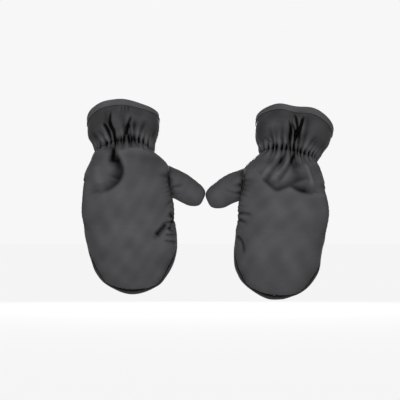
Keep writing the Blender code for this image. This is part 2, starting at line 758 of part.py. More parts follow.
def make_muff(frame, materials):
    layered("front", front_grid(), -SEAM_GAP / 2, frame, materials)
    layered("finger", back_grid(FINGER_START, RIDGE, FINGER_ROWS), SEAM_GAP / 2, frame, materials)
    heel_layers = layered("heel", back_grid(*HEEL_SPAN, HEEL_ROWS), SEAM_GAP / 2, frame, materials)
    side_strips(frame, materials)
    cuff(frame, materials)
    wrist_elastic(frame, materials)
    hem_binding(frame, materials)
    thumb(frame, materials, heel_layers)
    flap(frame, materials)
    snaps(frame, materials)


def main():
    clear_scene()
    materials = make_materials()
    make_muff(make_frame("right", 1, RIGHT_LIFT, RIGHT_TILT_DEGREES), materials)
    make_muff(make_frame("left", -1, LEFT_LIFT, LEFT_TILT_DEGREES), materials)


main()
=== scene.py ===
"""A pair of padded hand muffs: fine cloth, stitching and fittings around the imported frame.

Each piece is a surface worked out on a grid of two parameters: around is the angle round a muff, 0 in
front and a quarter turn on the outer side, and along is the station coordinate from the hem (0) to the
fingertip seam (6).
"""

import math

import bmesh
import bpy
import numpy as np
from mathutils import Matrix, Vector


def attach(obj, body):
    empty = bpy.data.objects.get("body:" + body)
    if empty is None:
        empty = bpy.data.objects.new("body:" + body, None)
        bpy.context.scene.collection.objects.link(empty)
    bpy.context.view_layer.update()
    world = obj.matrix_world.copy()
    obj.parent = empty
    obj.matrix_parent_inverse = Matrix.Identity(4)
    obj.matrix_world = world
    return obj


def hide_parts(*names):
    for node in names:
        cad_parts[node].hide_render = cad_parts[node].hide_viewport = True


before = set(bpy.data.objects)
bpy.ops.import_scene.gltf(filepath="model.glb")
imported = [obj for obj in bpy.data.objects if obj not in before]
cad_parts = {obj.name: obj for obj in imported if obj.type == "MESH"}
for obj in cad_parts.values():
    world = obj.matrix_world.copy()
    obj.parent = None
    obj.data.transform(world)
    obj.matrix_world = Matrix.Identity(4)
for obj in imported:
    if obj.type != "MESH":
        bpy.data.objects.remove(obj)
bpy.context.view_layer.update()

bl_info = {
    "name": "Padded hand muffs",
    "version": (1, 0, 0),
    "blender": (4, 5, 0),
    "location": "3D View > Sidebar > Hand muffs",
    "description": "Dresses the frame of a pair of padded hand muffs with cloth, stitching and fittings",
    "category": "Add Mesh",
}

MILLIMETRE = 0.001
QUARTER = math.pi / 2

# Outline of a muff, as in the frame: heights from its own origin, half widths, half depths and set-backs
LEFT_LIFT, RIGHT_LIFT = 0.003, -0.006
LEFT_TILT_DEGREES, RIGHT_TILT_DEGREES = 2.4, 5.7
WAIST_HEIGHT, CUFF_HEIGHT = 0.080, 0.046
BELLY_DROP, TIP_DROP = 0.032, 0.137
HEM_HALF_WIDTH, CUFF_HALF_WIDTH, WAIST_HALF_WIDTH = 0.0520, 0.0545, 0.0425
BODY_HALF_WIDTH, RIDGE_HALF_WIDTH = 0.0705, 0.030
HEM_HALF_DEPTH, CUFF_HALF_DEPTH, WAIST_HALF_DEPTH, BODY_HALF_DEPTH = 0.036, 0.038, 0.027, 0.047
HEM_SET_BACK, WAIST_SET_BACK, BODY_SET_BACK = 0.027, 0.012, -0.004
RIDGE_SAG, WRIST_LEAN, WRIST_BOW, HEM_BOW, HEM_SPLAY = 0.012, 0.012, 0.006, 0.016, 0.006
RING_POWER, POUCH_POWER, EYE_POWER = 2.4, 1.3, 4
CUFF_BELLY_SHARE = 0.53
SHOULDER_HEIGHT_SHARE, SHOULDER_WIDTH_SHARE, SHOULDER_DEPTH_SHARE = 0.65, 0.84, 0.86
SHOULDER_RISE_SHARE, MIDDLE_WIDTH_SHARE = 0.35, 0.985
HEM, CUFF_BELLY, WAIST, SHOULDER, MIDDLE, BELLY, RIDGE = range(7)

# Layers of cloth and the gaps between them
SHELL_THICKNESS, WADDING_THICKNESS, LINING_THICKNESS = 0.0010, 0.0042, 0.0018
LAYER_GAP = SEAM_GAP = 0.0003
SEAM_PINCH_SHARE, PINCH_REACH_SHARE = 0.6, 0.7
PAD_THICKNESS = SHELL_THICKNESS + LAYER_GAP + WADDING_THICKNESS
THINNEST_PAD = 0.0016
CUFF_SHELL_THICKNESS = 0.0009

# Passage, its mouths, the flap behind it and the press studs
PASSAGE_RISE, PASSAGE_HALF_HEIGHT, PASSAGE_HALF_DEPTH, EYE_HALF_HEIGHT = 0.003, 0.033, 0.022, 0.040
STRIP_WIDTH = 0.004
FLAP_HALF_WIDTH, FLAP_OFFSET, FLAP_SEAM_DROP, FLAP_TOP_HEIGHT = 0.038, 0.012, 0.045, 0.055
FLAP_CORNER = 0.010
FLAP_LOFT, FLAP_LOFT_REACH, FLAP_DIMPLE, FLAP_STITCH_INSET = 0.00045, 0.008, 0.00115, 0.0042
FLAP_GROOVE, FLAP_GROOVE_REACH, FLAP_ROLL, FLAP_MOST_PROUD = 0.0003, 0.0008, 0.0013, 0.0004
FLAP_WAVE_SHARE, FLAP_WAVE_START = 0.35, 0.01
DIMPLE_MARGIN, DIMPLE_EDGE = 0.0007, 0.00018
SNAP_HEIGHT, SNAP_PITCH, SNAP_COUNT = 0.045, 0.036, 2
STUD_RADIUS, STUD_FLANGE, STUD_KNOB_RADIUS, STUD_KNOB_HEIGHT = 0.0046, 0.0008, 0.0021, 0.0010
SOCKET_RADIUS, SOCKET_BORE_RADIUS, SOCKET_THICKNESS = 0.0050, 0.0026, 0.0010
CAP_RADIUS, CAP_THICKNESS, CAP_ROUNDING, SNAP_GAP = 0.0062, 0.0016, 0.0006, 0.0005
SNAP_CALM_REACH, METAL_ROUNDING = 0.009, 0.00022
SNAP_STACK = SNAP_GAP + STUD_FLANGE + SNAP_GAP
FLAP_THICKNESS = LINING_THICKNESS + LAYER_GAP + SHELL_THICKNESS

# Thumb pocket
THUMB_ROOT = (-0.034, 0.019, 0.040)
THUMB_TIP = (-0.1115, 0.039, 0.001)
THUMB_HALF_HEIGHT, THUMB_HALF_DEPTH = 0.0225, 0.0160
# Shares of the way from the thumb's root to its tip: sideways, back and down
THUMB_ROUTE_SHARES = ((0, 0, 0), (0.27, 0.55, 0.22), (0.54, 0.92, 0.44), (0.78, 1.02, 0.76), (1, 1, 1))
THUMB_TAPER_SHARE, THUMB_ROUND_SHARE = 0.26, 0.74
THUMB_WALL = SHELL_THICKNESS + LAYER_GAP + LINING_THICKNESS
BORE_SIDES, BORE_ROWS, BORE_END = 64, 30, 0.5
ROOT_GATHER = 0.0007
MUFF_SPREAD = -THUMB_TIP[0] + 0.003

# Hem band, wrist casing and seams
BAND_WIDTH, BAND_THICKNESS = 0.007, 0.0008
HEM_CREASE, HEM_CREASE_PITCH = 0.00025, 0.0042
HEM_STITCH_COUNT, HEM_STITCH_SHARE, STITCH_PITCH, THREAD_RADIUS = 118, 0.84, 0.0031, 0.00026
ELASTIC_WIDTH, ELASTIC_THICKNESS, ELASTIC_CLEARANCE = 0.007, 0.0018, 0.0006
ELASTIC_RIB, ELASTIC_RIB_COUNT, ELASTIC_ROLL = 0.00015, 150, 0.0014
WRIST_GAP, WRIST_DIP = 0.00010, 0.0003
WRIST_GROOVE, WRIST_GROOVE_REACH = 0.0006, 0.0020
WRIST_RIPPLE, WRIST_RIPPLE_REACH, ELASTIC_NIP_REACH, PLEAT_WIDENING = 0.0003, 0.010, 0.004, 0.12
CUFF_PUFF_RISE, BODY_PUFF_DROP, PUFF_REACH = 0.0065, 0.009, 0.0060
LOBE_RISE, LOBE_SAG, LOBE_WIDTH, LOBE_REACH = 0.0026, 0.0014, 0.0019, 0.0060
WRIST_ROLL, SIDE_ROLL, MOUTH_ROLL, LINING_ROLL = 0.0007, 0.0045, 0.0030, 0.0016
SEAM_DIP, SEAM_DIP_REACH = 0.0034, 0.0042
EDGE_SHARE = 0.12
OUTER_SWELL, INNER_SWELL, SWELL_REACH = 0.0050, 0.0032, 0.014
OUTER_SWELL_START, INNER_SWELL_START, MOUTH_DRAW, MOUTH_DRAW_REACH = 0.040, 0.024, 0.0016, 0.008
OUTER_RUFFLE, INNER_RUFFLE, MOUTH_RUFFLE_REACH, MOUTH_RUFFLE_PITCH = 0.0004, 0.0011, 0.0080, 0.0074
MOUTH_DRAW_WIDTH = 0.03
CASING_OVERLAP, CASING_THICKNESS, CASING_PITCH = 0.0014, 0.0030, 0.0034
CASING_POWER, CASING_ROWS, CASING_SIDES, CASING_HEIGHT_SHARE = 2.6, 240, 20, 0.9985
BAND_GROOVE, BAND_GROOVE_REACH = 0.0007, 0.0008
# Painted shade in the tone of the cloth, as a height in its folds: darker by this in the cuff, beside the seams, on
# the rim and towards the sides
CUFF_SHADE, SEAM_SHADE, SEAM_SHADE_REACH = 0.0019, 0.0020, 0.0050
RIM_SHADE, RIM_SHADE_REACH, EDGE_SHADE, EDGE_SHADE_REACH = 0.0028, 0.018, 0.0028, 0.0120
# Share of the height itself in the painted shade's tone, and the cells and shares of the means that it is measured
# from
TONE_SHARE, TONE_REACHES = 0.4, ((6, 1.0), (16, 0.5))
SEAM_FORWARD_SHARE, SEAM_FORWARD_REACH, TIP_WRAP_SHARE, TIP_CORNER_SHARE = 0.55, 0.085, 0.20, 0.5
# Rows of the front panel close to each end of a mouth, and where its columns start to bend to its edge
MOUTH_ROWS = (-0.0003, 0.00002, 0.00012, 0.0003, 0.0006, 0.001, 0.0015)
BEND_SHARE, BEND_ANGLE = 0.7, 1.08
PUCKER_PITCH, PUCKER_REACH = 0.0085, 0.0045

STATION_HEIGHTS = (
    WAIST_HEIGHT + CUFF_HEIGHT, WAIST_HEIGHT + CUFF_BELLY_SHARE * CUFF_HEIGHT, WAIST_HEIGHT,
    SHOULDER_HEIGHT_SHARE * WAIST_HEIGHT, 0, -BELLY_DROP,
)
STATION_WIDTHS = (
    HEM_HALF_WIDTH, CUFF_HALF_WIDTH, WAIST_HALF_WIDTH, SHOULDER_WIDTH_SHARE * BODY_HALF_WIDTH,
    MIDDLE_WIDTH_SHARE * BODY_HALF_WIDTH, BODY_HALF_WIDTH,
)
STATION_DEPTHS = (
    HEM_HALF_DEPTH, CUFF_HALF_DEPTH, WAIST_HALF_DEPTH, SHOULDER_DEPTH_SHARE * BODY_HALF_DEPTH,
    BODY_HALF_DEPTH, BODY_HALF_DEPTH,
)
STATION_SET_BACKS = (
    HEM_SET_BACK, (1 - CUFF_BELLY_SHARE) * WAIST_SET_BACK + CUFF_BELLY_SHARE * HEM_SET_BACK,
    WAIST_SET_BACK, SHOULDER_RISE_SHARE * WAIST_SET_BACK, BODY_SET_BACK, BODY_SET_BACK,
)
STATION_LEANS = (WRIST_LEAN, WRIST_LEAN, WRIST_LEAN, SHOULDER_RISE_SHARE * WRIST_LEAN, 0, 0)
STATION_BOWS = (
    HEM_BOW, (1 - CUFF_BELLY_SHARE) * WRIST_BOW + CUFF_BELLY_SHARE * HEM_BOW, WRIST_BOW,
    SHOULDER_RISE_SHARE * WRIST_BOW, 0, 0,
)
STATION_SPLAYS = (HEM_SPLAY, CUFF_BELLY_SHARE * HEM_SPLAY, 0, 0, 0, 0)

# Wrist pleats in front, in millimetres: place across the wrist, outwards, reach up, reach down and depth
LEFT_PLEATS = (
    (39.7, 16, 9, 1.9), (31.4, 15, 10, 2.2), (24.7, 22, 14, 2.3), (18.2, 32, 22, 2.9),
    (13.6, 11, 14, 2.2), (8.6, 12, 11, 1.9), (3.6, 13, 12, 2.3), (-3.7, 26, 10, 2.6),
    (-8.6, 16, 9, 2.2), (-13.1, 20, 9, 2.3), (-19.0, 20, 8, 2.2), (-25.5, 11, 9, 1.9),
    (-33.0, 10, 9, 1.9), (-39.0, 12, 8, 1.6),
)
RIGHT_PLEATS = (
    (-40.5, 12, 9, 1.6), (-36.6, 11, 9, 2.0), (-30.0, 12, 14, 2.0), (-23.3, 17, 24, 2.4),
    (-17.8, 18, 30, 2.3), (-9.6, 22, 32, 2.5), (-3.0, 25, 34, 2.4), (3.4, 28, 30, 2.2),
    (9.8, 34, 22, 2.8), (15.0, 30, 18, 2.3), (20.1, 30, 16, 2.6), (26.5, 16, 14, 2.3),
    (33.1, 13, 11, 2.1), (39.0, 11, 9, 1.7),
)
# Folds in front, in millimetres: path of places across and up, widths and depths at its ends, and the side,
# left (1) or right (-1) of the path, on which the cloth rises slowly, or 0 for neither
LEFT_FOLDS = (
    (((21.8, 137.3), (23.5, 126.1), (22.1, 115.5), (18.1, 106.0), (18.0, 94.1)), (1.8, 2.8), (1.8, 3.8), 0),
    (((33.5, 120.0), (27.9, 109.1), (22.5, 97.0)), (1.8, 2.6), (2.0, 3.2), 0),
    (((-9.2, 128.7), (-5.6, 120.8), (-2.6, 111.8), (0.5, 100.8)), (2.0, 3.0), (1.8, 4.0), 0),
    (((-6.0, 116.3), (-6.1, 99.1)), (1.8, 2.2), (1.6, 3.2), 0),
    (((-42.1, 106.1), (-39.0, 97.1)), (1.5, 1.5), (0.8, 1.0), 0),
    (((47.4, 103.4), (39.7, 84.7)), (1.8, 1.8), (0.8, 1.4), 0),
    (((41.7, 97.8), (32.8, 88.1)), (1.8, 1.8), (0.8, 1.4), 0),
    (((4.8, 145.5), (4.8, 136.5)), (1.0, 1.4), (1.2, 0.5), 0),
    (((0.0, 145.5), (0.0, 135.5)), (1.0, 1.4), (1.2, 0.5), 0),
    (((-5.2, 145.5), (-5.0, 136.0)), (1.0, 1.4), (1.2, 0.5), 0),
    (((20.2, 89.8), (22.3, 76.5), (24.4, 61.8)), (2.6, 5.0), (4.6, 2.4), 0),
    (((19.8, 80.0), (11.5, 62.7), (8.4, 49.3), (14.2, 35.2), (26.4, 25.5), (40.0, 20.0)),
     (4.0, 5.0), (5.0, 3.0), 1),
    (((17.0, 70.0), (15.5, 54.0), (22.0, 38.0)), (7.0, 9.0), (3.0, 2.4), 0),
    (((46.7, 58.3), (44.4, 43.4), (40.5, 29.9)), (7.0, 8.0), (-1.2, -1.4), 0),
    (((-57.0, -32.4), (-49.4, -40.5), (-40.1, -50.5)), (4.2, 5.2), (4.2, 4.0), 0),
    (((-61.0, -17.7), (-64.7, -27.8), (-61.2, -41.0), (-67.5, -46.2)), (2.4, 2.6), (2.6, 2.6), 0),
    (((-57.4, -31.5), (-64.9, -30.2), (-70.1, -29.0)), (1.6, 1.8), (1.0, 2.2), 0),
    (((-56.5, -40.4), (-64.5, -39.6), (-71.4, -38.4)), (1.6, 1.8), (1.6, 2.4), 0),
    (((-54.5, -49.0), (-63.5, -49.9), (-70.4, -49.4)), (1.6, 1.8), (1.8, 2.4), 0),
    (((-52.2, -58.0), (-60.5, -59.5), (-67.3, -61.4)), (1.6, 1.8), (1.4, 2.0), 0),
    (((-62.9, -17.9), (-56.2, -22.9)), (1.4, 1.8), (1.2, 0.5), 0),
    (((-61.2, -1.2), (-54.7, -7.3)), (1.4, 1.8), (1.0, 0.5), 0),
)
RIGHT_FOLDS = (
    (((5.1, 143.5), (11.1, 124.0), (8.5, 109.2)), (1.6, 2.6), (2.4, 3.4), 0),
    (((18.8, 140.4), (13.6, 118.0), (10.8, 105.4)), (2.0, 3.0), (2.8, 4.2), 0),
    (((-2.3, 132.3), (1.6, 114.9), (1.6, 94.0)), (1.6, 2.4), (1.6, 3.2), 0),
    (((2.0, 129.8), (8.1, 113.3), (7.2, 90.1)), (1.6, 2.4), (1.6, 3.4), 0),
    (((16.1, 137.1), (15.8, 118.2), (13.9, 95.3)), (1.8, 2.4), (1.6, 3.0), 0),
    (((-26.8, 105.6), (-19.1, 92.0)), (1.8, 2.0), (0.8, 1.4), 0),
    (((-37.1, 104.6), (-26.0, 97.4)), (1.8, 1.8), (0.8, 1.2), 0),
    (((-12.2, 107.1), (-4.8, 93.4)), (1.8, 2.0), (0.8, 1.4), 0),
    (((-3.7, 84.1), (-17.7, 61.4), (-30.7, 41.2)), (2.2, 3.6), (2.4, 1.2), 0),
    (((-11.5, 86.8), (-25.4, 61.6), (-37.0, 44.1)), (2.6, 3.4), (-1.0, -1.2), 0),
    (((4.2, 80.9), (-8.5, 57.9), (-21.9, 42.1)), (2.4, 3.6), (-1.2, -1.4), 0),
    (((10.8, 86.0), (0.2, 60.2), (-11.6, 40.9)), (2.2, 4.2), (2.6, 1.8), 0),
    (((6.4, 85.6), (13.9, 63.4), (22.2, 42.2)), (3.4, 15.0), (3.4, 4.6), 0),
    (((25.7, 73.2), (34.8, 56.2), (40.7, 40.9)), (2.4, 3.0), (-1.6, -2.0), 0),
    (((-35.7, 45.7), (-26.0, 37.7), (-13.2, 29.6), (-3.3, 33.1), (8.2, 37.2), (22.3, 31.7), (40.3, 29.5)),
     (3.6, 3.8), (2.4, 3.4), 1),
    (((43.4, 76.9), (52.5, 58.0), (59.1, 36.3)), (3.0, 4.0), (1.4, 0.8), 0),
    (((-69.3, 54.2), (-62.4, 44.5), (-62.2, 28.2), (-65.5, 16.0)), (3.0, 3.4), (1.8, 1.8), 0),
    (((-69.0, -22.5), (-60.5, -22.5), (-52.9, -25.3)), (1.6, 2.2), (2.4, 1.4), 0),
    (((-66.4, -13.0), (-56.6, -11.8), (-47.6, -12.5)), (2.2, 2.6), (2.0, 1.4), 0),
    (((-65.0, -44.4), (-56.4, -54.2), (-51.7, -69.8)), (2.2, 2.8), (2.6, 1.6), 0),
)
# How each muff hangs, in millimetres: places across and up in front, and how far the cloth has moved there
LEFT_MOVES = (
    ((59, 34), (5.4, 0)), ((49, 71), (3.7, 0)), ((65, -3), (2.4, 0)), ((40, 79), (5.2, 1)),
    ((-44, 80), (3.8, -5.5)), ((-51, 104), (2.9, 0)), ((41, 143), (2.4, 3.3)), ((53, 137), (1.4, 1.5)),
    ((67, -52), (-3.0, 0)), ((62, -77), (-2.5, 0)), ((-61, -82), (-4.2, 0)), ((-51, -106), (-4, 0)),
    ((-38, -121), (-2.8, -2.8)), ((-70, -33), (1, 0)), ((-43, 136), (-4.4, 0.2)),
    ((-51, 67), (0, -1.3)), ((56, 108), (0.2, -2)), ((1, 153), (0, 1.2)), ((-28, 145), (-2.4, -0.9)),
    ((0, 97), (1, -3)), ((22, 95), (2, -4)), ((-22, 95), (1, -3)), ((0, 45), (0, 0)), ((0, 0), (0, 0)),
    ((32, 0), (0, 0)), ((-32, 0), (0, 0)), ((0, -60), (0, 0)), ((0, -135), (0, 0)), ((0, 120), (0, 0)),
    ((-85, 32), (0, 0)), ((-105, 8), (0, 0)), ((32, -60), (0, 0)), ((-30, -60), (0, 0)),
)
RIGHT_MOVES = (
    ((-50, 123), (-2.7, 4.7)), ((-42, 136), (-7.4, 3.8)), ((-26, 146), (-1.9, 9)),
    ((-4, 152), (0, 1.5)), ((23, 151), (-0.4, 3.7)), ((41, 143), (1.8, 6)), ((54, 131), (10, -1)),
    ((56, 116), (4.4, -4)), ((50, 98), (5.5, -1)), ((40, 80), (3, -4.7)), ((-52, 100), (2.7, -2.2)),
    ((-44, 81), (2, 0)), ((63, 15), (2.7, 0)), ((56, 49), (-1.6, 0)), ((-70, -28), (4.2, 2)),
    ((-68, -53), (3.4, 0)), ((-54, -101), (-4.2, 0)), ((-64, -82), (-0.7, 0)), ((-37, -121), (-3.4, 0)),
    ((66, -52), (-2.5, 0)), ((-59, 53), (-3.2, 2)), ((-83, 41), (-3.5, 0.8)), ((-101, 28), (-3, -1)),
    ((58, -92), (3, -1)), ((46, -109), (2, -3)), ((-28, 96), (0, -4)), ((0, 98), (0, -8)),
    ((24, 95), (0, -8)), ((0, 45), (0, 0)), ((0, 0), (0, 0)), ((32, 0), (0, 0)), ((-32, 0), (0, 0)),
    ((0, -60), (0, 0)), ((0, -135), (0, 0)), ((0, 125), (0, -2)), ((32, -60), (0, 0)),
    ((-30, -60), (0, 0)),
)
MOVE_REACH, MOVE_EASE = 0.026, 0.08
# Folds on the front of each thumb pocket
LEFT_THUMB_FOLDS = (
    (((-64.0, 20.8), (-74.7, 22.1), (-82.0, 24.5)), (1.8, 2.2), (1.8, 0.6), 0),
    (((-60.0, 33.0), (-70.0, 32.0)), (2.0, 2.4), (1.2, 0.4), 0),
    (((-62.0, 12.0), (-76.0, 10.0)), (2.4, 2.4), (1.0, 0.4), 0),
)
RIGHT_THUMB_FOLDS = (
    (((-62.0, 30.0), (-74.0, 27.0)), (2.2, 2.6), (1.6, 0.4), 0),
    (((-61.0, 16.0), (-78.0, 18.0), (-86.0, 22.0)), (2.2, 2.4), (1.2, 0.4), 0),
)
# Cloth that settles over the padding
SOFT_HOLD, CLOTH_MASS, CLOTH_BENDING, CLOTH_EXCESS, CLOTH_PRESSURE = 0.10, 0.3, 6.0, 0.008, 0.7
CLOTH_QUALITY, CLOTH_TENSION, CLOTH_SHEAR = 6, 15, 5
SETTLING_FRAMES, MOST_SETTLED, SETTLING_STEP, SETTLED_SHARE, SETTLED_START = 20, 0.0030, 0.0025, 0.4, 0.012
BACK_PLEAT_COUNT, PLEAT_ROW_HEIGHT, OUTERMOST_PLEAT_SHARE = 20, 0.09, 0.985
FOLD_STEPS, FOLD_END, FOLD_END_SHARE, BROAD_SHARE = 80, 0.22, 0.45, 2.6
WAVE_LENGTHS = (0.062, 0.048, 0.039, 0.031, 0.024, 0.019)
OUTLINE_STEPS, RING_COLUMNS = 600, 420
# Lamps: places and size
FRONT_LAMP_PLACE, BACK_LAMP_PLACE, LAMP_SIZE = (0, -3.4, 0.1), (0, 3.4, 0.4), (1.3, 0.9)
# Finishes by name, and the material slots they are for
FINISH_NAMES = {
    "shell": "shell_fabric", "fleece": "fleece_lining", "elastic": "elastic", "metal": "snap_metal",
    "thread": "thread",
}


# Sums and shares used all over


def bell(distance, reach):
    """One at no distance, falling off as e to the minus square of the distance over the reach."""
    return np.exp(-((distance / reach) ** 2))


def eased(share):
    """A share from nought to one that starts and ends level: three squares minus two cubes."""
    return share**2 * (3 - 2 * share)


def unit(vectors):
    """Vectors over their lengths."""
    return vectors / np.linalg.norm(vectors, axis=-1, keepdims=True)


def run_along(line):
    """Length along a line of points at each of them."""
    return np.concatenate([[0], np.cumsum(np.linalg.norm(np.diff(line, axis=0), axis=-1))])


def run_across(points):
    """Length along each row of a grid at each of its points."""
    steps = np.linalg.norm(np.diff(points, axis=1), axis=-1)
    return np.concatenate([np.zeros((len(points), 1)), np.cumsum(steps, axis=1)], axis=1)


def mean_run(points, axis):
    """Length along a grid's axis at each of its lines: the sum of the mean steps."""
    steps = np.linalg.norm(np.diff(points, axis=axis), axis=-1).mean(axis=1 - axis)
    return np.concatenate([[0], np.cumsum(steps)])


# Outline of a muff


def smooth_through(place, values, level=True):
    """Smooth curve through the values at places 0, 1, 2 and so on: cubic Hermite pieces, level at the
    last value or running on there."""
    values = np.asarray(values, float)
    slopes = np.gradient(values)
    if level:
        slopes[-1] = 0
    low = np.clip(np.floor(place).astype(int), 0, len(values) - 2)
    t = place - low
    start = (2 * t**3 - 3 * t**2 + 1) * values[low] + (t**3 - 2 * t**2 + t) * slopes[low]
    end = (3 * t**2 - 2 * t**3) * values[low + 1] + (t**3 - t**2) * slopes[low + 1]
    return start + end


def outline_at(along):
    """Height, half width and half depth of the ring at a station coordinate.

    Above the belly they follow the stations. Below it, height and depth follow a quarter ellipse."""
    upper = np.clip(along, HEM, BELLY)
    turn = np.clip(along - BELLY, 0, 1) * QUARTER
    height = smooth_through(upper, STATION_HEIGHTS) - (TIP_DROP - BELLY_DROP) * np.sin(turn)
    width = smooth_through(upper, STATION_WIDTHS)
    width = RIDGE_HALF_WIDTH + (width - RIDGE_HALF_WIDTH) * np.maximum(np.cos(turn), 0) ** POUCH_POWER
    depth = smooth_through(upper, STATION_DEPTHS) * np.maximum(np.cos(turn), 0)
    return height, width, depth


def shift_at(along):
    """Sideways splay, set-back, lean, bow and sag of the ring at a station coordinate."""
    upper = np.clip(along, HEM, BELLY)
    turn = np.clip(along - BELLY, 0, 1) * QUARTER
    tables = (STATION_SPLAYS, STATION_SET_BACKS, STATION_LEANS, STATION_BOWS)
    return [smooth_through(upper, table) for table in tables] + [RIDGE_SAG * np.sin(turn) ** 2]


def ring_shares(around):
    """Sideways and forward shares of a rounded square ring: sine and cosine over the ring's power norm."""
    sine, cosine = np.sin(around), np.cos(around)
    size = (np.abs(sine) ** RING_POWER + np.abs(cosine) ** RING_POWER) ** (1 / RING_POWER)
    return sine / size, cosine / size


def surface(around, along):
    """Smooth outer face: the ring's shares times its half width and half depth, moved by its shifts."""
    height, width, depth = outline_at(along)
    splay, set_back, lean, bow, sag = shift_at(along)
    across, ahead = ring_shares(around)
    lift = lean * np.cos(around) + bow * np.cos(around) ** 2 + sag * across**2
    return np.stack([splay + width * across, set_back - depth * ahead, height + lift], axis=-1)


def normals(around, along):
    """Outward directions: the cross product of small steps both ways. At the fingertip seam they lie in
    its plane."""
    step, margin = 1e-4, 0.02
    kept = np.minimum(along, RIDGE - margin)
    by_around = surface(around + step, kept) - surface(around - step, kept)
    by_along = surface(around, kept + step) - surface(around, np.maximum(kept - step, HEM))
    found = np.cross(by_along, by_around)
    found[..., 1] *= along < RIDGE
    return found / np.linalg.norm(found, axis=-1, keepdims=True)


def pinch(around, along):
    """Share of their thickness that the layers keep: less near the side seams, the fingertips and the
    wrist."""
    across, _ = ring_shares(around)
    turn = np.clip(along - BELLY, 0, 1) * QUARTER
    near_waist = np.clip(1 - (along - WAIST) / PINCH_REACH_SHARE, 0, 1)
    open_share = (1 - across**4) * (1 - np.sin(turn) ** 4) * (1 - near_waist**2)
    return SEAM_PINCH_SHARE + (1 - SEAM_PINCH_SHARE) * open_share


def along_at(height):
    """Station coordinate of a height at a muff's side."""
    places = np.linspace(HEM, RIDGE, OUTLINE_STEPS)
    return float(np.interp(-height, -outline_at(places)[0], places))


def even_rows(start, stop, count):
    """Station coordinates from start to stop, spaced evenly along the front of the muff."""
    places = np.linspace(start, stop, OUTLINE_STEPS)
    run = run_along(surface(np.zeros(OUTLINE_STEPS), places))
    return np.interp(np.linspace(0, run[-1], count + 1), run, places)


def ring_ahead(across):
    """Share of a ring's half depth where it has this share of its half width, and the other way round."""
    return np.maximum(1 - np.abs(across) ** RING_POWER, 0) ** (1 / RING_POWER)


def back_around(across):
    """Angle at the back whose ring has this sideways share."""
    return np.arctan2(across, -ring_ahead(across)) % (4 * QUARTER)


def edge_around(ahead):
    """Angle on the outer side whose ring has this forward share."""
    return np.arctan2(ring_ahead(ahead), ahead)


def eye_shares(along):
    """Forward share at which the front panel ends beside the passage: a rounded square in height."""
    height, _, depth = outline_at(along)
    rise = (height - PASSAGE_RISE) / EYE_HALF_HEIGHT
    reach = np.clip(1 - rise**EYE_POWER, 0, 1) ** (1 / EYE_POWER)
    edge = PASSAGE_HALF_DEPTH + STRIP_WIDTH + SEAM_GAP + shift_at(along)[1]
    return edge / depth * reach


def seam_shares(along):
    """Forward share of the side seam under the passage, where the palm panel wraps forwards round the
    fingers."""
    drop = (PASSAGE_RISE - EYE_HALF_HEIGHT - outline_at(along)[0]) / SEAM_FORWARD_REACH
    return SEAM_FORWARD_SHARE * eased(np.clip(drop, 0, 1))


def tip_seam(across):
    """Station coordinate of the tip seam in front: it wraps further forwards towards its corners."""
    return RIDGE - TIP_WRAP_SHARE * (1 + TIP_CORNER_SHARE * across**4)


def side_seam(along):
    """Angle of the side seam on the outer side, without the mouth."""
    return edge_around(seam_shares(along))


def front_edge(along):
    """Angle of the front panel's side edge: beside the passage its mouth, and under it the side seam."""
    return edge_around(np.maximum(eye_shares(along), seam_shares(along)))


BODY_START = along_at(WAIST_HEIGHT - WRIST_GAP)
LINING_START = along_at(WAIST_HEIGHT - ELASTIC_WIDTH / 2 - SEAM_GAP)
HEEL_STOP = along_at(PASSAGE_RISE + PASSAGE_HALF_HEIGHT)
FINGER_START = along_at(PASSAGE_RISE - PASSAGE_HALF_HEIGHT)


# How the cloth hangs: soft moves of every piece of a muff


def solved_moves(rows):
    """Strengths of bells at the rows' places whose sum gives each row's move, eased where places are
    close."""
    places, moves = np.array([row[0] for row in rows]), np.array([row[1] for row in rows], float)
    places, moves = places * MILLIMETRE, moves * MILLIMETRE
    gaps = ((places[:, None] - places[None]) ** 2).sum(axis=-1)
    bells = np.exp(-gaps / MOVE_REACH**2) + MOVE_EASE * np.eye(len(rows))
    return places, np.linalg.solve(bells, moves)


def lobed(pleats, points):
    """Points beside the wrist's elastic, lifted in each pleat and sagging in the lobes between them: the
    cloth moves up by a bell of the distance to the nearest pleats, and fades away from the wrist."""
    turn = np.arctan2(points[..., 0] / WAIST_HALF_WIDTH, (WAIST_SET_BACK - points[..., 1]) / WAIST_HALF_DEPTH)
    cosine = np.cos(turn)
    rise = points[..., 2] - WAIST_HEIGHT - WRIST_LEAN * cosine - WRIST_BOW * cosine**2
    beat = np.zeros_like(rise)
    for angle, *_ in pleats:
        gap = (turn - angle + math.pi) % (2 * math.pi) - math.pi
        beat = np.maximum(beat, bell(gap * WAIST_HALF_WIDTH, LOBE_WIDTH))
    lifted = points.copy()
    lifted[..., 2] += bell(rise, LOBE_REACH) * ((LOBE_RISE + LOBE_SAG) * beat - LOBE_SAG)
    return lifted


def hung(muff, points):
    """Points as the muff hangs: lobed at the wrist, then swayed."""
    return swayed(muff["moves"], lobed(muff["pleats"], points))


def swayed(moves, points):
    """Points moved in the front view by the bells, summed with their strengths."""
    places, strengths = moves
    moved = points.copy()
    for place, strength in zip(places, strengths):
        bell = np.exp(-((points[..., ::2] - place) ** 2).sum(axis=-1) / MOVE_REACH**2)
        moved[..., ::2] += bell[..., None] * strength
    return moved


# Folds, pleats and loft: heights over the smooth outer face


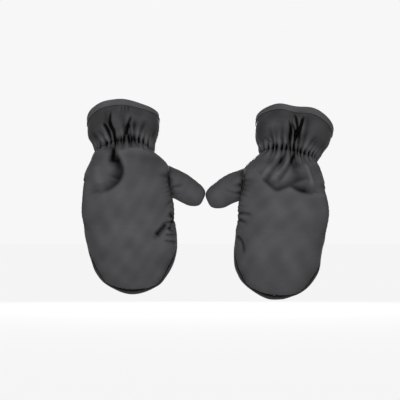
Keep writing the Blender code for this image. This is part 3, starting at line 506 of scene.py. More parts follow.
def fold(points, path, widths, depths, side):
    """Height of a fold: minus its depth times a bell of the distance to its path in the front view.

    The path is a smooth curve through its places. Width and depth change evenly along it, and the depth
    fades at both its ends. On a broad side the bell is several times as wide."""
    flat = points[..., ::2]
    spots = np.linspace(0, len(path) - 1, FOLD_STEPS)
    line = [smooth_through(spots, values, level=False) for values in zip(*path)]
    line = np.stack(line, axis=1) * MILLIMETRE
    run = run_along(line)
    square = (flat**2).sum(axis=-1)[..., None] + (line**2).sum(axis=1) - 2 * flat @ line.T
    nearest = square.argmin(axis=-1)
    place, gap, ahead = run[nearest] / run[-1], flat - line[nearest], np.gradient(line, axis=0)[nearest]
    width, depth = ((first + (last - first) * place) * MILLIMETRE for first, last in (widths, depths))
    for from_end in (place, 1 - place):
        depth = depth * np.clip(FOLD_END_SHARE + from_end / FOLD_END, 0, 1)
    if side:
        beside = ahead[..., 0] * gap[..., 1] - ahead[..., 1] * gap[..., 0]
        width = width * np.where(side * beside > 0, BROAD_SHARE, 1)
    return -depth * np.exp(-((gap**2).sum(axis=-1) / width**2))


def wrist_pleats(muff, around, along):
    """Height of the gathers: a row of sharp valleys across the wrist, each wider and shallower away from
    the elastic, on a swollen band with a fine ripple."""
    height, width, depth = outline_at(along)
    across, ahead = ring_shares(around)
    rise = height - WAIST_HEIGHT
    radius = np.hypot(width * across, depth * ahead)
    puffs = bell(rise - CUFF_PUFF_RISE, PUFF_REACH) + 0.5 * bell(rise + BODY_PUFF_DROP, PUFF_REACH)
    total = muff["cloth"].wrist_puff * puffs - WRIST_GROOVE * bell(rise, WRIST_GROOVE_REACH)
    ripple = np.cos(around * 73 + 2.1 * np.sin(around * 5 + muff["side"]))
    total = total + WRIST_RIPPLE * bell(rise, WRIST_RIPPLE_REACH) * ripple
    at_elastic = 1 + 0.5 * bell(rise, ELASTIC_NIP_REACH)
    for angle, up, down, deep, drift in muff["pleats"]:
        fade = np.clip(1 - np.abs(rise) / np.where(rise > 0, up, down), 0, 1) ** 0.8
        turn = (around - angle - drift * rise + math.pi) % (2 * math.pi) - math.pi
        spread = muff["cloth"].pleat_width + PLEAT_WIDENING * np.abs(rise)
        total = total - deep * fade * at_elastic * np.exp(-(np.abs(turn * radius / spread) ** 1.5))
    return total


def loft_waves(muff, points):
    """Height of the padding's slow waves: a sum of sines across the cloth in several directions."""
    total = 0
    for wave, phase, share in muff["waves"]:
        total = total + share * np.sin(points @ wave + phase)
    return muff["cloth"].loft_wave * total


def relief(muff, around, along):
    """Height of the outer cloth over its smooth outline: gathers, folds in front and slow waves."""
    around, along = np.broadcast_arrays(around, along)
    points = hung(muff, surface(around, along))
    front = np.clip(3 * ring_shares(around)[1], 0, 1)
    total = wrist_pleats(muff, around, along) + loft_waves(muff, points)
    seen = front > 0
    for path, widths, depths, side in muff["folds"]:
        total[seen] += muff["cloth"].fold_share * front[seen] * fold(points[seen], path, widths, depths, side)
    return total


def puckers(muff, distance, run):
    """Height of the small puckers that a seam draws in: bells that repeat along it and fade away from
    it."""
    beat = np.cos(run * 2 * math.pi / PUCKER_PITCH + 1.3 * np.sin(run * 2 * math.pi / (2.7 * PUCKER_PITCH)))
    return -muff["cloth"].pucker_depth * (0.5 + 0.5 * beat) * np.exp(-distance / PUCKER_REACH)


def nearest_on(points, line):
    """Distance from each point to a line of close points, and the length along the line there."""
    flat = points.reshape(-1, 3)
    square = (flat**2).sum(axis=1)[:, None] + (line**2).sum(axis=1) - 2 * flat @ line.T
    nearest = square.argmin(axis=1)
    distance = np.sqrt(np.maximum(square[np.arange(len(flat)), nearest], 0))
    return distance.reshape(points.shape[:-1]), run_along(line)[nearest].reshape(points.shape[:-1])


def mouth_line(side, count=300):
    """Points along the front panel's edge at one mouth of the passage, closed at both its ends."""
    reach = EYE_HALF_HEIGHT * np.sin(np.linspace(QUARTER, -QUARTER, count))
    along = np.array([along_at(PASSAGE_RISE + value) for value in reach])
    return surface(side * edge_around(eye_shares(along)), along)


def mouth_gathers(muff, points):
    """Height beside the mouths: a swelling at the elastic edge, cut by valleys that run away from it."""
    total, nearest = 0, np.full(points.shape[:-1], np.inf)
    for side, rise, start, ruffle in (
        (1, OUTER_SWELL, OUTER_SWELL_START, OUTER_RUFFLE), (-1, INNER_SWELL, INNER_SWELL_START, INNER_RUFFLE),
    ):
        line = mouth_line(side)
        distance, run = nearest_on(points, line)
        beat = np.cos(run * 2 * math.pi / MOUTH_RUFFLE_PITCH + 1.2 * np.sin(run * 170 + muff["side"] + side))
        reach = MOUTH_RUFFLE_REACH * (1 + 0.4 * np.sin(run * 310 + side))
        from_end = np.clip(np.minimum(run, run_along(line)[-1] - run) / start, 0, 1)
        total = total + rise * eased(from_end) * bell(distance, SWELL_REACH)
        total = total - ruffle * (0.5 + 0.5 * beat) ** 1.5 * np.exp(-((distance / reach) ** 1.5))
        nearest = np.minimum(nearest, distance)
    return total, nearest


def shaded(height):
    """Tone height of a relief, from which shade is painted: a share of the height itself, and the height over its
    mean over squares of cells of two sizes, so that a valley is painted dark and the ridges beside it are painted
    light."""
    tone = TONE_SHARE * height
    for reach, share in TONE_REACHES:
        mean = height
        for axis in (0, 1):
            margins = [(reach, reach) if axis == side else (0, 0) for side in (0, 1)]
            total = np.cumsum(np.insert(np.pad(mean, margins, mode="edge"), 0, 0, axis=axis), axis=axis)
            total = np.moveaxis(total, axis, 0)
            mean = np.moveaxis((total[2 * reach + 1:] - total[:-2 * reach - 1]) / (2 * reach + 1), 0, axis)
        tone = tone + share * (height - mean)
    return tone


def rolled(distance, radius):
    """Share of its thickness that a panel keeps near its edge: a quarter circle of this radius."""
    reach = 1 - np.clip(distance / radius, 0, 1)
    return EDGE_SHARE + (1 - EDGE_SHARE) * np.sqrt(1 - reach**2)


# Building pieces from grids


def quads(grid):
    """Corners of each cell of a grid, for its point numbers and for its cloth coordinates alike."""
    cells = np.stack([grid[:-1, :-1], grid[1:, :-1], grid[1:, 1:], grid[:-1, 1:]], axis=2)
    return cells.reshape(-1, *cells.shape[2:])


def closed_ring(grid):
    """A grid with its first column once more at the end."""
    return np.concatenate([grid, grid[:, :1]], axis=1)


def border(grid):
    """Point numbers round the edge of a grid, back to the first."""
    return np.concatenate([grid[0], grid[1:, -1], grid[-1, -2::-1], grid[-2::-1, 0]])


def cloth_run(points):
    """Cloth coordinates in metres: distance across each row from its middle, and mean distance down the
    rows."""
    across = run_across(points)
    across -= across[:, across.shape[1] // 2][:, None]
    return np.stack([across, np.broadcast_to(mean_run(points, 0)[:, None], across.shape)], axis=-1)


def added(name, data):
    """A new object of this data in the scene."""
    made = bpy.data.objects.new(name, data)
    bpy.context.scene.collection.objects.link(made)
    return made


class Sewing:
    """Points, faces and cloth coordinates of one piece, gathered before its mesh is made."""

    def __init__(self, muff):
        self.muff, self.points, self.heights, self.faces, self.coordinates = muff, [], [], [], []
        self.count = 0

    def add(self, points, height=0.0):
        """Adds a grid of points with their tone height, from which shade is painted, and gives their numbers."""
        flat = points.reshape(-1, 3)
        self.points.append(flat)
        self.heights.append(np.broadcast_to(np.asarray(height, float), points.shape[:-1]).ravel())
        self.count += len(flat)
        return np.arange(self.count - len(flat), self.count).reshape(points.shape[:-1])

    def patch(self, numbers, coordinates=None):
        """Faces over a grid of point numbers."""
        if coordinates is None:
            rows, columns = np.indices(numbers.shape)
            coordinates = np.stack([columns, rows], axis=-1) * MILLIMETRE
        self.faces.append(quads(numbers))
        self.coordinates.append(quads(coordinates))

    def fan(self, ring, tip):
        """Faces from a closed ring of point numbers to one point, as cells with a doubled corner."""
        self.patch(np.stack([ring, np.full_like(ring, tip)]))

    def capped_tube(self, grid, ends, coordinates=None):
        """Faces over a closed grid of point numbers, and fans from its first and last rows to two end
        points."""
        tips = self.add(ends)
        self.patch(grid, coordinates)
        self.fan(grid[0], tips[0])
        self.fan(grid[-1], tips[1])

    def placed(self, name):
        """An object of the gathered faces, in the row frame, with faces outwards."""
        muff = self.muff
        x, y, z = (hung(muff, np.concatenate(self.points)) * (muff["side"], 1, 1)).T
        turn = muff["side"] * math.radians(muff["tilt"])
        points = np.stack([
            x * math.cos(turn) + z * math.sin(turn) + muff["side"] * MUFF_SPREAD,
            y,
            z * math.cos(turn) - x * math.sin(turn) + muff["lift"],
        ], axis=1)
        mesh = bpy.data.meshes.new(name)
        mesh.from_pydata(points, [], np.concatenate(self.faces))
        layer = mesh.uv_layers.new(name="cloth")
        layer.data.foreach_set("uv", np.concatenate(self.coordinates).astype(np.float32).ravel())
        # The tone height goes to an attribute from which the cloth materials paint shade in valleys and highlights
        # on ridges.
        heights = mesh.attributes.new("painted_shade_height", "FLOAT", "POINT")
        heights.data.foreach_set("value", np.concatenate(self.heights).astype(np.float32) / MILLIMETRE)
        shape = bmesh.new()
        shape.from_mesh(mesh)
        bmesh.ops.dissolve_degenerate(shape, dist=1e-7, edges=shape.edges)
        bmesh.ops.recalc_face_normals(shape, faces=shape.faces)
        shape.to_mesh(mesh)
        shape.free()
        mesh.shade_smooth()
        return added(name, mesh)

    def piece(self, stem, finish, replaced=(), part="muff"):
        """The finished piece on its body, in its finish, in place of the frame's nodes with these stems."""
        name = self.muff["name"]
        made = self.placed(f"{name}_{stem}")
        made.data.materials.append(self.muff["finishes"][finish])
        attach(made, f"{name}_{part}")
        if replaced:
            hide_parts(*(f"{name}_{node}" for node in replaced))
        return made


def closed_layer(sewing, over, under, run, height=0.0, ring=False):
    """A closed layer between two grids: both faces and the rim that joins them."""
    upper, lower = sewing.add(over, height), sewing.add(under, height)
    if ring:
        upper, lower = closed_ring(upper), closed_ring(lower)
        sewing.patch(np.stack([upper[0], lower[0]]))
        sewing.patch(np.stack([upper[-1], lower[-1]]))
    else:
        sewing.patch(np.stack([border(upper), border(lower)]))
    sewing.patch(upper, run)
    sewing.patch(lower, run)


def layer_faces(around, along, lift, thickness, edge, shift):
    """Both faces of a panel's layer: lift over the smooth face, thickness under that, and an edge share
    that draws them together towards the layer's middle."""
    base = surface(around, along) + np.array([0, shift, 0])
    outward = normals(around, along)
    middle, half = lift - thickness / 2, thickness / 2 * edge
    return base + (middle + half)[..., None] * outward, base + (middle - half)[..., None] * outward


def panel_faces(kind, around, along, height, edge, shift):
    """Both faces of a padded layer whose cloth has this height, or of the fleece under it."""
    thickness, floor = padded_lift(height, around, along)
    if kind == "cloth":
        return layer_faces(around, along, height, thickness, edge, shift)
    share = pinch(around, along)
    return layer_faces(around, along, floor - LAYER_GAP * share, LINING_THICKNESS * share, edge, shift)


def thinned(points, axis):
    """Places of a grid's lines that lie about a settling step apart, and the weights that carry values
    there back to all the lines, straight between them."""
    run = mean_run(points, axis)
    kept = np.unique(np.searchsorted(run, np.linspace(0, run[-1] - 1e-9, int(run[-1] / SETTLING_STEP) + 1)))
    return kept, np.stack([np.interp(run, run[kept], row) for row in np.eye(len(kept))], axis=1)


def settled(points, outward):
    """How far a padded face moves outwards where the padding presses on its cloth.

    Evenly thinned points make a cloth that is a little larger than its place and is held at its border,
    and softly inside it. Blender's Cloth lets it swell and crease. Its moves are capped by a hyperbolic
    tangent and carried back to all the points."""
    (rows, down), (columns, across) = thinned(points, 0), thinned(points, 1)
    coarse, away = points[np.ix_(rows, columns)], outward[np.ix_(rows, columns)]
    numbers = np.arange(coarse.shape[0] * coarse.shape[1]).reshape(coarse.shape[:2])
    mesh = bpy.data.meshes.new("settling_cloth")
    mesh.from_pydata(coarse.reshape(-1, 3), [], quads(numbers))
    made = added("settling_cloth", mesh)
    holds = made.vertex_groups.new(name="holds")
    holds.add(numbers.ravel().tolist(), SOFT_HOLD, "REPLACE")
    holds.add(border(numbers).tolist(), 1.0, "REPLACE")
    modifier = made.modifiers.new("settling", "CLOTH")
    cloth = modifier.settings
    cloth.quality, cloth.vertex_group_mass, cloth.mass = CLOTH_QUALITY, "holds", CLOTH_MASS
    cloth.tension_stiffness = cloth.compression_stiffness = CLOTH_TENSION
    cloth.shear_stiffness, cloth.bending_stiffness = CLOTH_SHEAR, CLOTH_BENDING
    cloth.shrink_min = cloth.shrink_max = -CLOTH_EXCESS
    cloth.use_pressure, cloth.uniform_pressure_force = True, CLOTH_PRESSURE
    cloth.effector_weights.gravity = 0
    modifier.collision_settings.use_collision = False
    modifier.point_cache.frame_start, modifier.point_cache.frame_end = 1, SETTLING_FRAMES
    for step in range(1, SETTLING_FRAMES + 1):
        bpy.context.scene.frame_set(step)
    final = made.evaluated_get(bpy.context.evaluated_depsgraph_get()).to_mesh()
    moved = np.empty(len(mesh.vertices) * 3)
    final.vertices.foreach_get("co", moved)
    lift = ((moved.reshape(coarse.shape) - coarse) * away).sum(axis=-1)
    bpy.data.objects.remove(made)
    bpy.data.meshes.remove(mesh)
    bpy.context.scene.frame_set(1)
    return down @ (MOST_SETTLED * np.tanh(lift / MOST_SETTLED)) @ across.T


def edge_distances(points):
    """Distances along the cloth from the first and last rows and from the first and last columns."""
    down, across = mean_run(points, 0), run_across(points)
    rows = np.broadcast_to(down[:, None], across.shape)
    return rows, down[-1] - rows, across, across[:, -1:] - across


def padded_lift(height, around, along):
    """Thickness of the padded layer under a fold, and the lift of the lining under it.

    The padding gives way under a deep fold, down to its thinnest, and then the lining moves too."""
    full = PAD_THICKNESS * pinch(around, along)
    floor = -full + np.minimum(0, height + full - THINNEST_PAD)
    return height - floor, floor


# Materials


def linked(tree, kind, **values):
    """A new node, with its own settings and its inputs' values or links by name."""
    node = tree.nodes.new(kind)
    for key, value in values.items():
        if key in node.inputs:
            if isinstance(value, bpy.types.NodeSocket):
                tree.links.new(value, node.inputs[key])
            else:
                node.inputs[key].default_value = value
        else:
            setattr(node, key, value)
    return node


def math_node(tree, operation, first, second=0.0, third=0.0):
    """The result of one operation on values or links."""
    node = tree.nodes.new("ShaderNodeMath")
    node.operation = operation
    for slot, value in zip(node.inputs, (first, second, third)):
        if isinstance(value, bpy.types.NodeSocket):
            tree.links.new(value, slot)
        else:
            slot.default_value = value
    return node.outputs[0]


def new_group(name, inputs, outputs):
    """An empty shader node group with number inputs and outputs, and its two end nodes."""
    group = bpy.data.node_groups.new(name, "ShaderNodeTree")
    for label, kind, value in inputs:
        socket = group.interface.new_socket(name=label, in_out="INPUT", socket_type=kind)
        if value is not None:
            socket.default_value = value
    for label, kind in outputs:
        group.interface.new_socket(name=label, in_out="OUTPUT", socket_type=kind)
    return group, group.nodes.new("NodeGroupInput"), group.nodes.new("NodeGroupOutput")


def woven_group():
    """Plain weave on cloth coordinates: two crossed sine bands, with slow changes of tone along the
    threads."""
    group, start, end = new_group(
        "woven_cloth",
        [("Cloth", "NodeSocketVector", None), ("Pitch", "NodeSocketFloat", 0.0005)],
        [("Height", "NodeSocketFloat"), ("Tone", "NodeSocketFloat")],
    )
    cloth, pitch = start.outputs["Cloth"], start.outputs["Pitch"]
    split = linked(group, "ShaderNodeSeparateXYZ", Vector=cloth)
    bands = []
    for axis in ("X", "Y"):
        turns = math_node(group, "DIVIDE", split.outputs[axis], pitch)
        bands.append(math_node(group, "SINE", math_node(group, "MULTIPLY", turns, 2 * math.pi)))
    crossing = math_node(group, "MULTIPLY", bands[0], bands[1])
    group.links.new(math_node(group, "MULTIPLY_ADD", crossing, 0.5, 0.5), end.inputs["Height"])
    stretched = linked(group, "ShaderNodeMapping", Vector=cloth, Scale=(60, 900, 1))
    threads = linked(group, "ShaderNodeTexNoise", Vector=stretched.outputs[0], Scale=1.0, Detail=2.0)
    slow = linked(group, "ShaderNodeTexNoise", Vector=cloth, Scale=45.0, Detail=3.0)
    both = math_node(group, "ADD", threads.outputs["Fac"], slow.outputs["Fac"])
    group.links.new(math_node(group, "MULTIPLY", both, 0.5), end.inputs["Tone"])
    return group


def fold_painted_shade_group():
    """Painted shade and highlight of a fold: a tone less than one in valleys and a little more on ridges, from the
    height over the smooth face."""
    group, start, end = new_group(
        "fold_painted_shade",
        [(key, "NodeSocketFloat", value) for key, value in (("Depth", 0.1), ("Tone", 1.0), ("Spread", 0.2))],
        [("Tone", "NodeSocketFloat")],
    )
    height = linked(group, "ShaderNodeAttribute", attribute_name="painted_shade_height")
    limited = linked(group, "ShaderNodeClamp", Value=height.outputs["Fac"], Min=-6.0, Max=2.4)
    folded = math_node(group, "MULTIPLY_ADD", limited.outputs[0], start.outputs["Depth"], 1.0)
    centred = math_node(group, "SUBTRACT", start.outputs["Tone"], 0.5)
    varied = math_node(group, "MULTIPLY_ADD", centred, start.outputs["Spread"], 1.0)
    group.links.new(math_node(group, "MULTIPLY", folded, varied), end.inputs["Tone"])
    return group


def fuzz_group():
    """Short pile: fine noise over coarse tufts on object coordinates, as a height and a tone."""
    group, start, end = new_group(
        "fleece_pile",
        [("Tufts", "NodeSocketFloat", 420.0)],
        [("Height", "NodeSocketFloat"), ("Tone", "NodeSocketFloat")],
    )
    place = group.nodes.new("ShaderNodeTexCoord").outputs["Object"]
    tufts = linked(group, "ShaderNodeTexNoise", Vector=place, Scale=start.outputs["Tufts"], Detail=4.0)
    hairs = linked(group, "ShaderNodeTexNoise", Vector=place, Scale=2600.0, Detail=2.0)
    height = math_node(group, "MULTIPLY_ADD", hairs.outputs["Fac"], 0.35, tufts.outputs["Fac"])
    group.links.new(height, end.inputs["Height"])
    group.links.new(tufts.outputs["Fac"], end.inputs["Tone"])
    return group


def group_node(tree, group, **values):
    """A node of the group, with its inputs' values or links by name."""
    return linked(tree, "ShaderNodeGroup", node_tree=group, **values)


def finish_material(name, colour, roughness, **shader_values):
    """A new material's tree and shader, with the values that are the same all over set on the shader."""
    material = bpy.data.materials.new(name)
    material.use_nodes = True
    shader = material.node_tree.nodes["Principled BSDF"]
    for key, value in {"Base Color": (*colour, 1), "Roughness": roughness, **shader_values}.items():
        shader.inputs[key].default_value = value
    return material, material.node_tree, shader


def toned(tree, shader, colour, tone):
    """Links the colour times a varying tone to the shader's base colour."""
    mixed = linked(tree, "ShaderNodeVectorMath", operation="SCALE", Scale=tone)
    mixed.inputs[0].default_value = colour
    tree.links.new(mixed.outputs[0], shader.inputs["Base Color"])


def bumped(tree, shader, height, distance, strength):
    """Links a bump of this height to the shader's normal."""
    bump = linked(tree, "ShaderNodeBump", Height=height, Distance=distance, Strength=strength)
    tree.links.new(bump.outputs[0], shader.inputs["Normal"])


def cloth_material(name, colour, roughness, pitch, groups, painted_shade_depth, sheen, specular):
    """Satin weave: the woven group and the painted shade and highlight of the folds drive colour and roughness, and
    the weave the bump."""
    values = {"Specular IOR Level": specular, "Sheen Weight": sheen, "Sheen Roughness": 0.5}
    material, tree, shader = finish_material(name, colour, roughness, **values)
    place = tree.nodes.new("ShaderNodeTexCoord")
    weave = group_node(tree, groups["woven"], Cloth=place.outputs["UV"], Pitch=pitch)
    tone = group_node(tree, groups["tone"], Depth=painted_shade_depth, Tone=weave.outputs["Tone"], Spread=0.35)
    toned(tree, shader, colour, tone.outputs["Tone"])
    rough = math_node(tree, "MULTIPLY_ADD", weave.outputs["Tone"], 0.14, roughness - 0.07)
    tree.links.new(rough, shader.inputs["Roughness"])
    bumped(tree, shader, weave.outputs["Height"], 0.00012, 0.35)
    return material


def fleece_material(name, colour, groups):
    """Fleece: a dark pile with soft sheen."""
    values = {"Specular IOR Level": 0.2, "Sheen Weight": 0.5, "Sheen Roughness": 0.6}
    material, tree, shader = finish_material(name, colour, 0.95, **values)
    pile = group_node(tree, groups["pile"])
    toned(tree, shader, colour, math_node(tree, "MULTIPLY_ADD", pile.outputs["Tone"], 1.1, 0.45))
    bumped(tree, shader, pile.outputs["Height"], 0.0012, 0.8)
    return material


def metal_material(name, colour, roughness):
    """Dark plated metal: worn lighter where fine noise says so, with hair scratches."""
    material, tree, shader = finish_material(name, colour, roughness, Metallic=0.9)
    place = tree.nodes.new("ShaderNodeTexCoord")
    wear = linked(tree, "ShaderNodeTexNoise", Vector=place.outputs["Object"], Scale=900.0, Detail=4.0)
    toned(tree, shader, colour, math_node(tree, "MULTIPLY_ADD", wear.outputs["Fac"], 0.9, 0.6))
    rough = math_node(tree, "MULTIPLY_ADD", wear.outputs["Fac"], 0.3, roughness - 0.12)
    tree.links.new(rough, shader.inputs["Roughness"])
    scratch = linked(tree, "ShaderNodeMapping", Vector=place.outputs["Object"], Scale=(400, 400, 6000))
    hairs = linked(tree, "ShaderNodeTexNoise", Vector=scratch.outputs[0], Scale=1.0, Detail=3.0)
    bumped(tree, shader, hairs.outputs["Fac"], 0.00003, 0.5)
    return material


def materials(context):
    """The finishes by name, made once."""
    names = {key: f"{name}_finish" for key, name in FINISH_NAMES.items()}
    if names["shell"] in bpy.data.materials:
        return {key: bpy.data.materials[name] for key, name in names.items()}
    look, pitch = context.scene.muff_finish, context.scene.muff_finish.weave_pitch
    groups = {"woven": woven_group(), "tone": fold_painted_shade_group(), "pile": fuzz_group()}
    # The fifth value is the depth of the painted fold shade, per millimetre of tone height.
    cloths = {
        "shell": (look.fabric_colour, look.fabric_roughness, pitch, groups, 0.20, 0.0, 0.04),
        "elastic": (look.elastic_colour, 0.75, 3 * pitch, groups, 0.12, 0.0, 0.12),
        "thread": (look.thread_colour, 0.6, pitch, groups, 0.0, 0.3, 0.3),
    }
    return {
        **{key: cloth_material(names[key], *values) for key, values in cloths.items()},
        "fleece": fleece_material(names["fleece"], look.fleece_colour, groups),
        "metal": metal_material(names["metal"], look.metal_colour, 0.38),
    }


# The two muffs


def make_muff(context, name, side, lift, tilt, pleats, folds, thumb_folds, moves, seed):
    """One muff's place, settings and folds, with the seeded pleats of its back and the waves of its
    padding."""
    cloth = context.scene.muff_cloth
    draw = np.random.default_rng(seed)
    hanging = solved_moves(moves)
    waist = np.array([[row[0] * MILLIMETRE, 0, PLEAT_ROW_HEIGHT] for row in pleats])
    places = waist[:, 0] - (swayed(hanging, waist) - waist)[:, 0]
    outermost = OUTERMOST_PLEAT_SHARE
    across = np.clip(places / WAIST_HALF_WIDTH, -outermost, outermost)
    angles = np.arctan2(across, ring_ahead(across)).tolist()
    rows = [(angle, *row[1:]) for angle, row in zip(angles, pleats)]
    first, last = max(angles), min(angles) + 4 * QUARTER
    for angle in np.linspace(first, last, BACK_PLEAT_COUNT + 2)[1:-1]:
        jitter = draw.uniform(-0.3, 0.3) * (last - first) / BACK_PLEAT_COUNT
        rows.append((angle + jitter, draw.uniform(7, 26), draw.uniform(4, 15), draw.uniform(1.1, 2.0)))
    sizes = np.array([1.3, 1, cloth.pleat_share]) * MILLIMETRE
    pleat_rows = [(angle, *(sizes * row).tolist(), draw.uniform(-5, 5)) for angle, *row in rows]
    waves = []
    for length in WAVE_LENGTHS:
        direction = unit(draw.normal(size=3))
        strength = (length / WAVE_LENGTHS[0]) ** 0.7
        waves.append((direction * 2 * math.pi / length, draw.uniform(0, 2 * math.pi), strength))
    return {
        "name": name, "side": side, "lift": lift, "tilt": tilt, "cloth": cloth, "pleats": pleat_rows,
        "folds": folds, "thumb_folds": thumb_folds, "waves": waves, "moves": hanging,
        "finishes": materials(context),
    }


def muffs(context):
    """The right and the left muff."""
    return [
        make_muff(context, "right", 1, RIGHT_LIFT, RIGHT_TILT_DEGREES, RIGHT_PLEATS, RIGHT_FOLDS,
                  RIGHT_THUMB_FOLDS, RIGHT_MOVES, 11),
        make_muff(context, "left", -1, LEFT_LIFT, LEFT_TILT_DEGREES, LEFT_PLEATS, LEFT_FOLDS,
                  LEFT_THUMB_FOLDS, LEFT_MOVES, 23),
    ]


def spread_columns(count, share=0.35):
    """Places from -1 to 1, closer together at both ends: a mix of even steps and a sine."""
    even = np.linspace(-1, 1, count)
    return (1 - share) * even + share * np.sin(even * QUARTER)


# Body panels


def front_grid(start, rows, columns):
    """Angles and station coordinates of the front panel, out to its mouths, its side seams and the tip
    seam.

    Rows lie closer where a mouth ends. The middle columns stay at plain angles, and the outer ones bend,
    by the square of their place past the bend, to the panel's edge."""
    across = spread_columns(columns)
    stop = tip_seam(across)
    reaches = EYE_HALF_HEIGHT - np.array(MOUTH_ROWS)
    ends = [along_at(PASSAGE_RISE + side * reach) for side in (1, -1) for reach in reaches]
    down = np.sort(np.concatenate([even_rows(start, RIDGE - TIP_WRAP_SHARE, rows - 2 * len(MOUTH_ROWS) - 1), ends]))
    share = (down - start) / (down[-1] - start)
    along = start + share[:, None] * (stop - start)
    bend = np.clip((np.abs(across) - BEND_SHARE) / (1 - BEND_SHARE), 0, 1) ** 2
    return np.sign(across) * (BEND_ANGLE * np.abs(across) + (front_edge(along) - BEND_ANGLE) * bend), along


def padded_panel(muff, stem, grid, height, edges, shift, tone):
    """A padded panel of outer cloth over wadding, with the tone height of its cloth."""
    sewing = Sewing(muff)
    closed_layer(sewing, *panel_faces("cloth", *grid, height, edges, shift), cloth_run(surface(*grid)), tone)
    pad = sewing.piece(f"{stem}_padded_cloth", "shell", (f"{stem}_shell", f"{stem}_wadding"))
    return pad


def lining_piece(muff, stem, grid, height, shift):
    """Fleece lining of a panel, which follows the padded layer over it."""
    base = surface(*grid)
    edge = rolled(np.minimum.reduce(edge_distances(base)), LINING_ROLL)
    sewing = Sewing(muff)
    closed_layer(sewing, *panel_faces("fleece", *grid, height, edge, shift), cloth_run(base))
    piece = sewing.piece(f"{stem}_fleece", "fleece", (f"{stem}_lining",))
    return piece


def bored(muff, piece):
    """Cuts the way into the thumb pocket out of a piece: the inside of the pocket's tube, out to past the
    body."""
    places = np.linspace(0, BORE_END, BORE_ROWS)
    points, _ = thumb_face(muff, places, ring_around(BORE_SIDES), THUMB_WALL, False)
    sewing = Sewing(muff)
    sewing.capped_tube(closed_ring(sewing.add(points)), points[[0, -1]].mean(axis=1))
    cutter = sewing.placed("thumb_bore")
    cut = piece.modifiers.new("bore", "BOOLEAN")
    cut.operation, cut.solver, cut.object = "DIFFERENCE", "EXACT", cutter
    whole = piece.data
    piece.data = bpy.data.meshes.new_from_object(piece.evaluated_get(bpy.context.evaluated_depsgraph_get()))
    piece.modifiers.clear()
    bpy.data.meshes.remove(whole)
    bpy.data.objects.remove(cutter)


def front_panel(muff):
    """Front panel: the outline from the wrist to the tip seam, with pleats, folds, waves and seam
    puckers."""
    grid = around, along = front_grid(BODY_START, 210, 200)
    base = surface(around, along)
    top, bottom, left, right = edge_distances(base)
    sides = np.minimum(left, right)
    gathers, mouth = mouth_gathers(muff, base)
    seam = np.minimum(np.maximum(sides, SWELL_REACH * (eye_shares(along) > 0)), bottom)
    under = np.clip((along - along_at(PASSAGE_RISE)) / 0.2, 0, 1)
    height = relief(muff, around, along) + gathers - SEAM_DIP * under * bell(seam, SEAM_DIP_REACH)
    height = height + (0.3 + 0.7 * under) * puckers(muff, seam, cloth_run(base).sum(axis=-1))
    outward = normals(around, along)
    calm = np.clip(np.minimum(np.minimum(mouth, seam), top) / SETTLED_START, 0, 1)
    lift = SETTLED_SHARE * calm * settled(base + height[..., None] * outward, outward)
    edges = rolled(top, WRIST_ROLL) * rolled(seam, SIDE_ROLL) * rolled(mouth, MOUTH_ROLL)
    # Painted shade: the folds' tone, darker still towards the side seams and the tip seam where the cloth turns
    # away.
    tone = shaded(height) - EDGE_SHADE * bell(np.minimum(sides, bottom + 0.003), EDGE_SHADE_REACH)
    padded_panel(muff, "front", grid, height + lift, edges, -SEAM_GAP / 2, tone)
    grid = front_grid(LINING_START, 90, 80)
    height = relief(muff, *grid) + np.minimum(mouth_gathers(muff, surface(*grid))[0], 0)
    lining_piece(muff, "front", grid, height, -SEAM_GAP / 2)


def calm_near_snaps(base, height):
    """The height with waves taken out near the press studs, and never proud under the flap."""
    for spot, _ in snap_frames():
        height = height * (1 - bell(np.linalg.norm(base - spot, axis=-1), SNAP_CALM_REACH))
    return np.minimum(height, 0.0)


def heel_panel(muff):
    """Upper palm panel, behind the hand's heel, with a hole into the thumb pocket."""
    for start, rows, columns in ((BODY_START, 60, 170), (LINING_START, 30, 80)):
        around = math.pi - spread_columns(columns) * QUARTER
        grid = np.broadcast_arrays(around[None], even_rows(start, HEEL_STOP, rows - 1)[:, None])
        base = surface(*grid)
        height = calm_near_snaps(base, relief(muff, *grid))
        top, bottom, left, right = edge_distances(base)
        sides = np.minimum(left, right)
        if start == BODY_START:
            height = height + 0.3 * puckers(muff, sides, cloth_run(base)[..., 1])
            edges = rolled(top, WRIST_ROLL) * rolled(sides, SIDE_ROLL) * rolled(bottom, MOUTH_ROLL)
            # Painted shade: the folds' tone, darker beside the side seams.
            tone = shaded(height) - SEAM_SHADE * bell(sides, SEAM_SHADE_REACH)
            piece = padded_panel(muff, "heel", grid, height, edges, SEAM_GAP / 2, tone)
        else:
            piece = lining_piece(muff, "heel", grid, height, SEAM_GAP / 2)
        bored(muff, piece)


def finger_rim(rows, columns, steps):
    """Angles and station coordinates of the finger panel's rim: from the panel's outline, which is the
    side lines and the ridge, to the seam on the front, in even steps."""
    across, down = spread_columns(columns), even_rows(FINGER_START, RIDGE, rows - 1)
    corner = tip_seam(1)
    seam_rows = FINGER_START + (down - FINGER_START) * (corner - FINGER_START) / (RIDGE - FINGER_START)
    seam_bottom = tip_seam(across)
    from_around = np.concatenate([np.full(rows, -QUARTER), across[1:-1] * QUARTER, np.full(rows, QUARTER)])
    from_along = np.concatenate([down, np.full(columns - 2, float(RIDGE)), down[::-1]])
    to_around = np.concatenate(
        [-side_seam(seam_rows), across[1:-1] * side_seam(seam_bottom[1:-1]), side_seam(seam_rows[::-1])]
    )
    to_around = np.sign(to_around) * np.minimum(np.abs(to_around), QUARTER - 0.006)
    to_along = np.concatenate([seam_rows, seam_bottom[1:-1], seam_rows[::-1]])
    share = np.linspace(0, 0.975, steps + 1)
    return tuple(
        first[:, None] + share * (last - first)[:, None]
        for first, last in ((from_around, to_around), (from_along, to_along))
    )


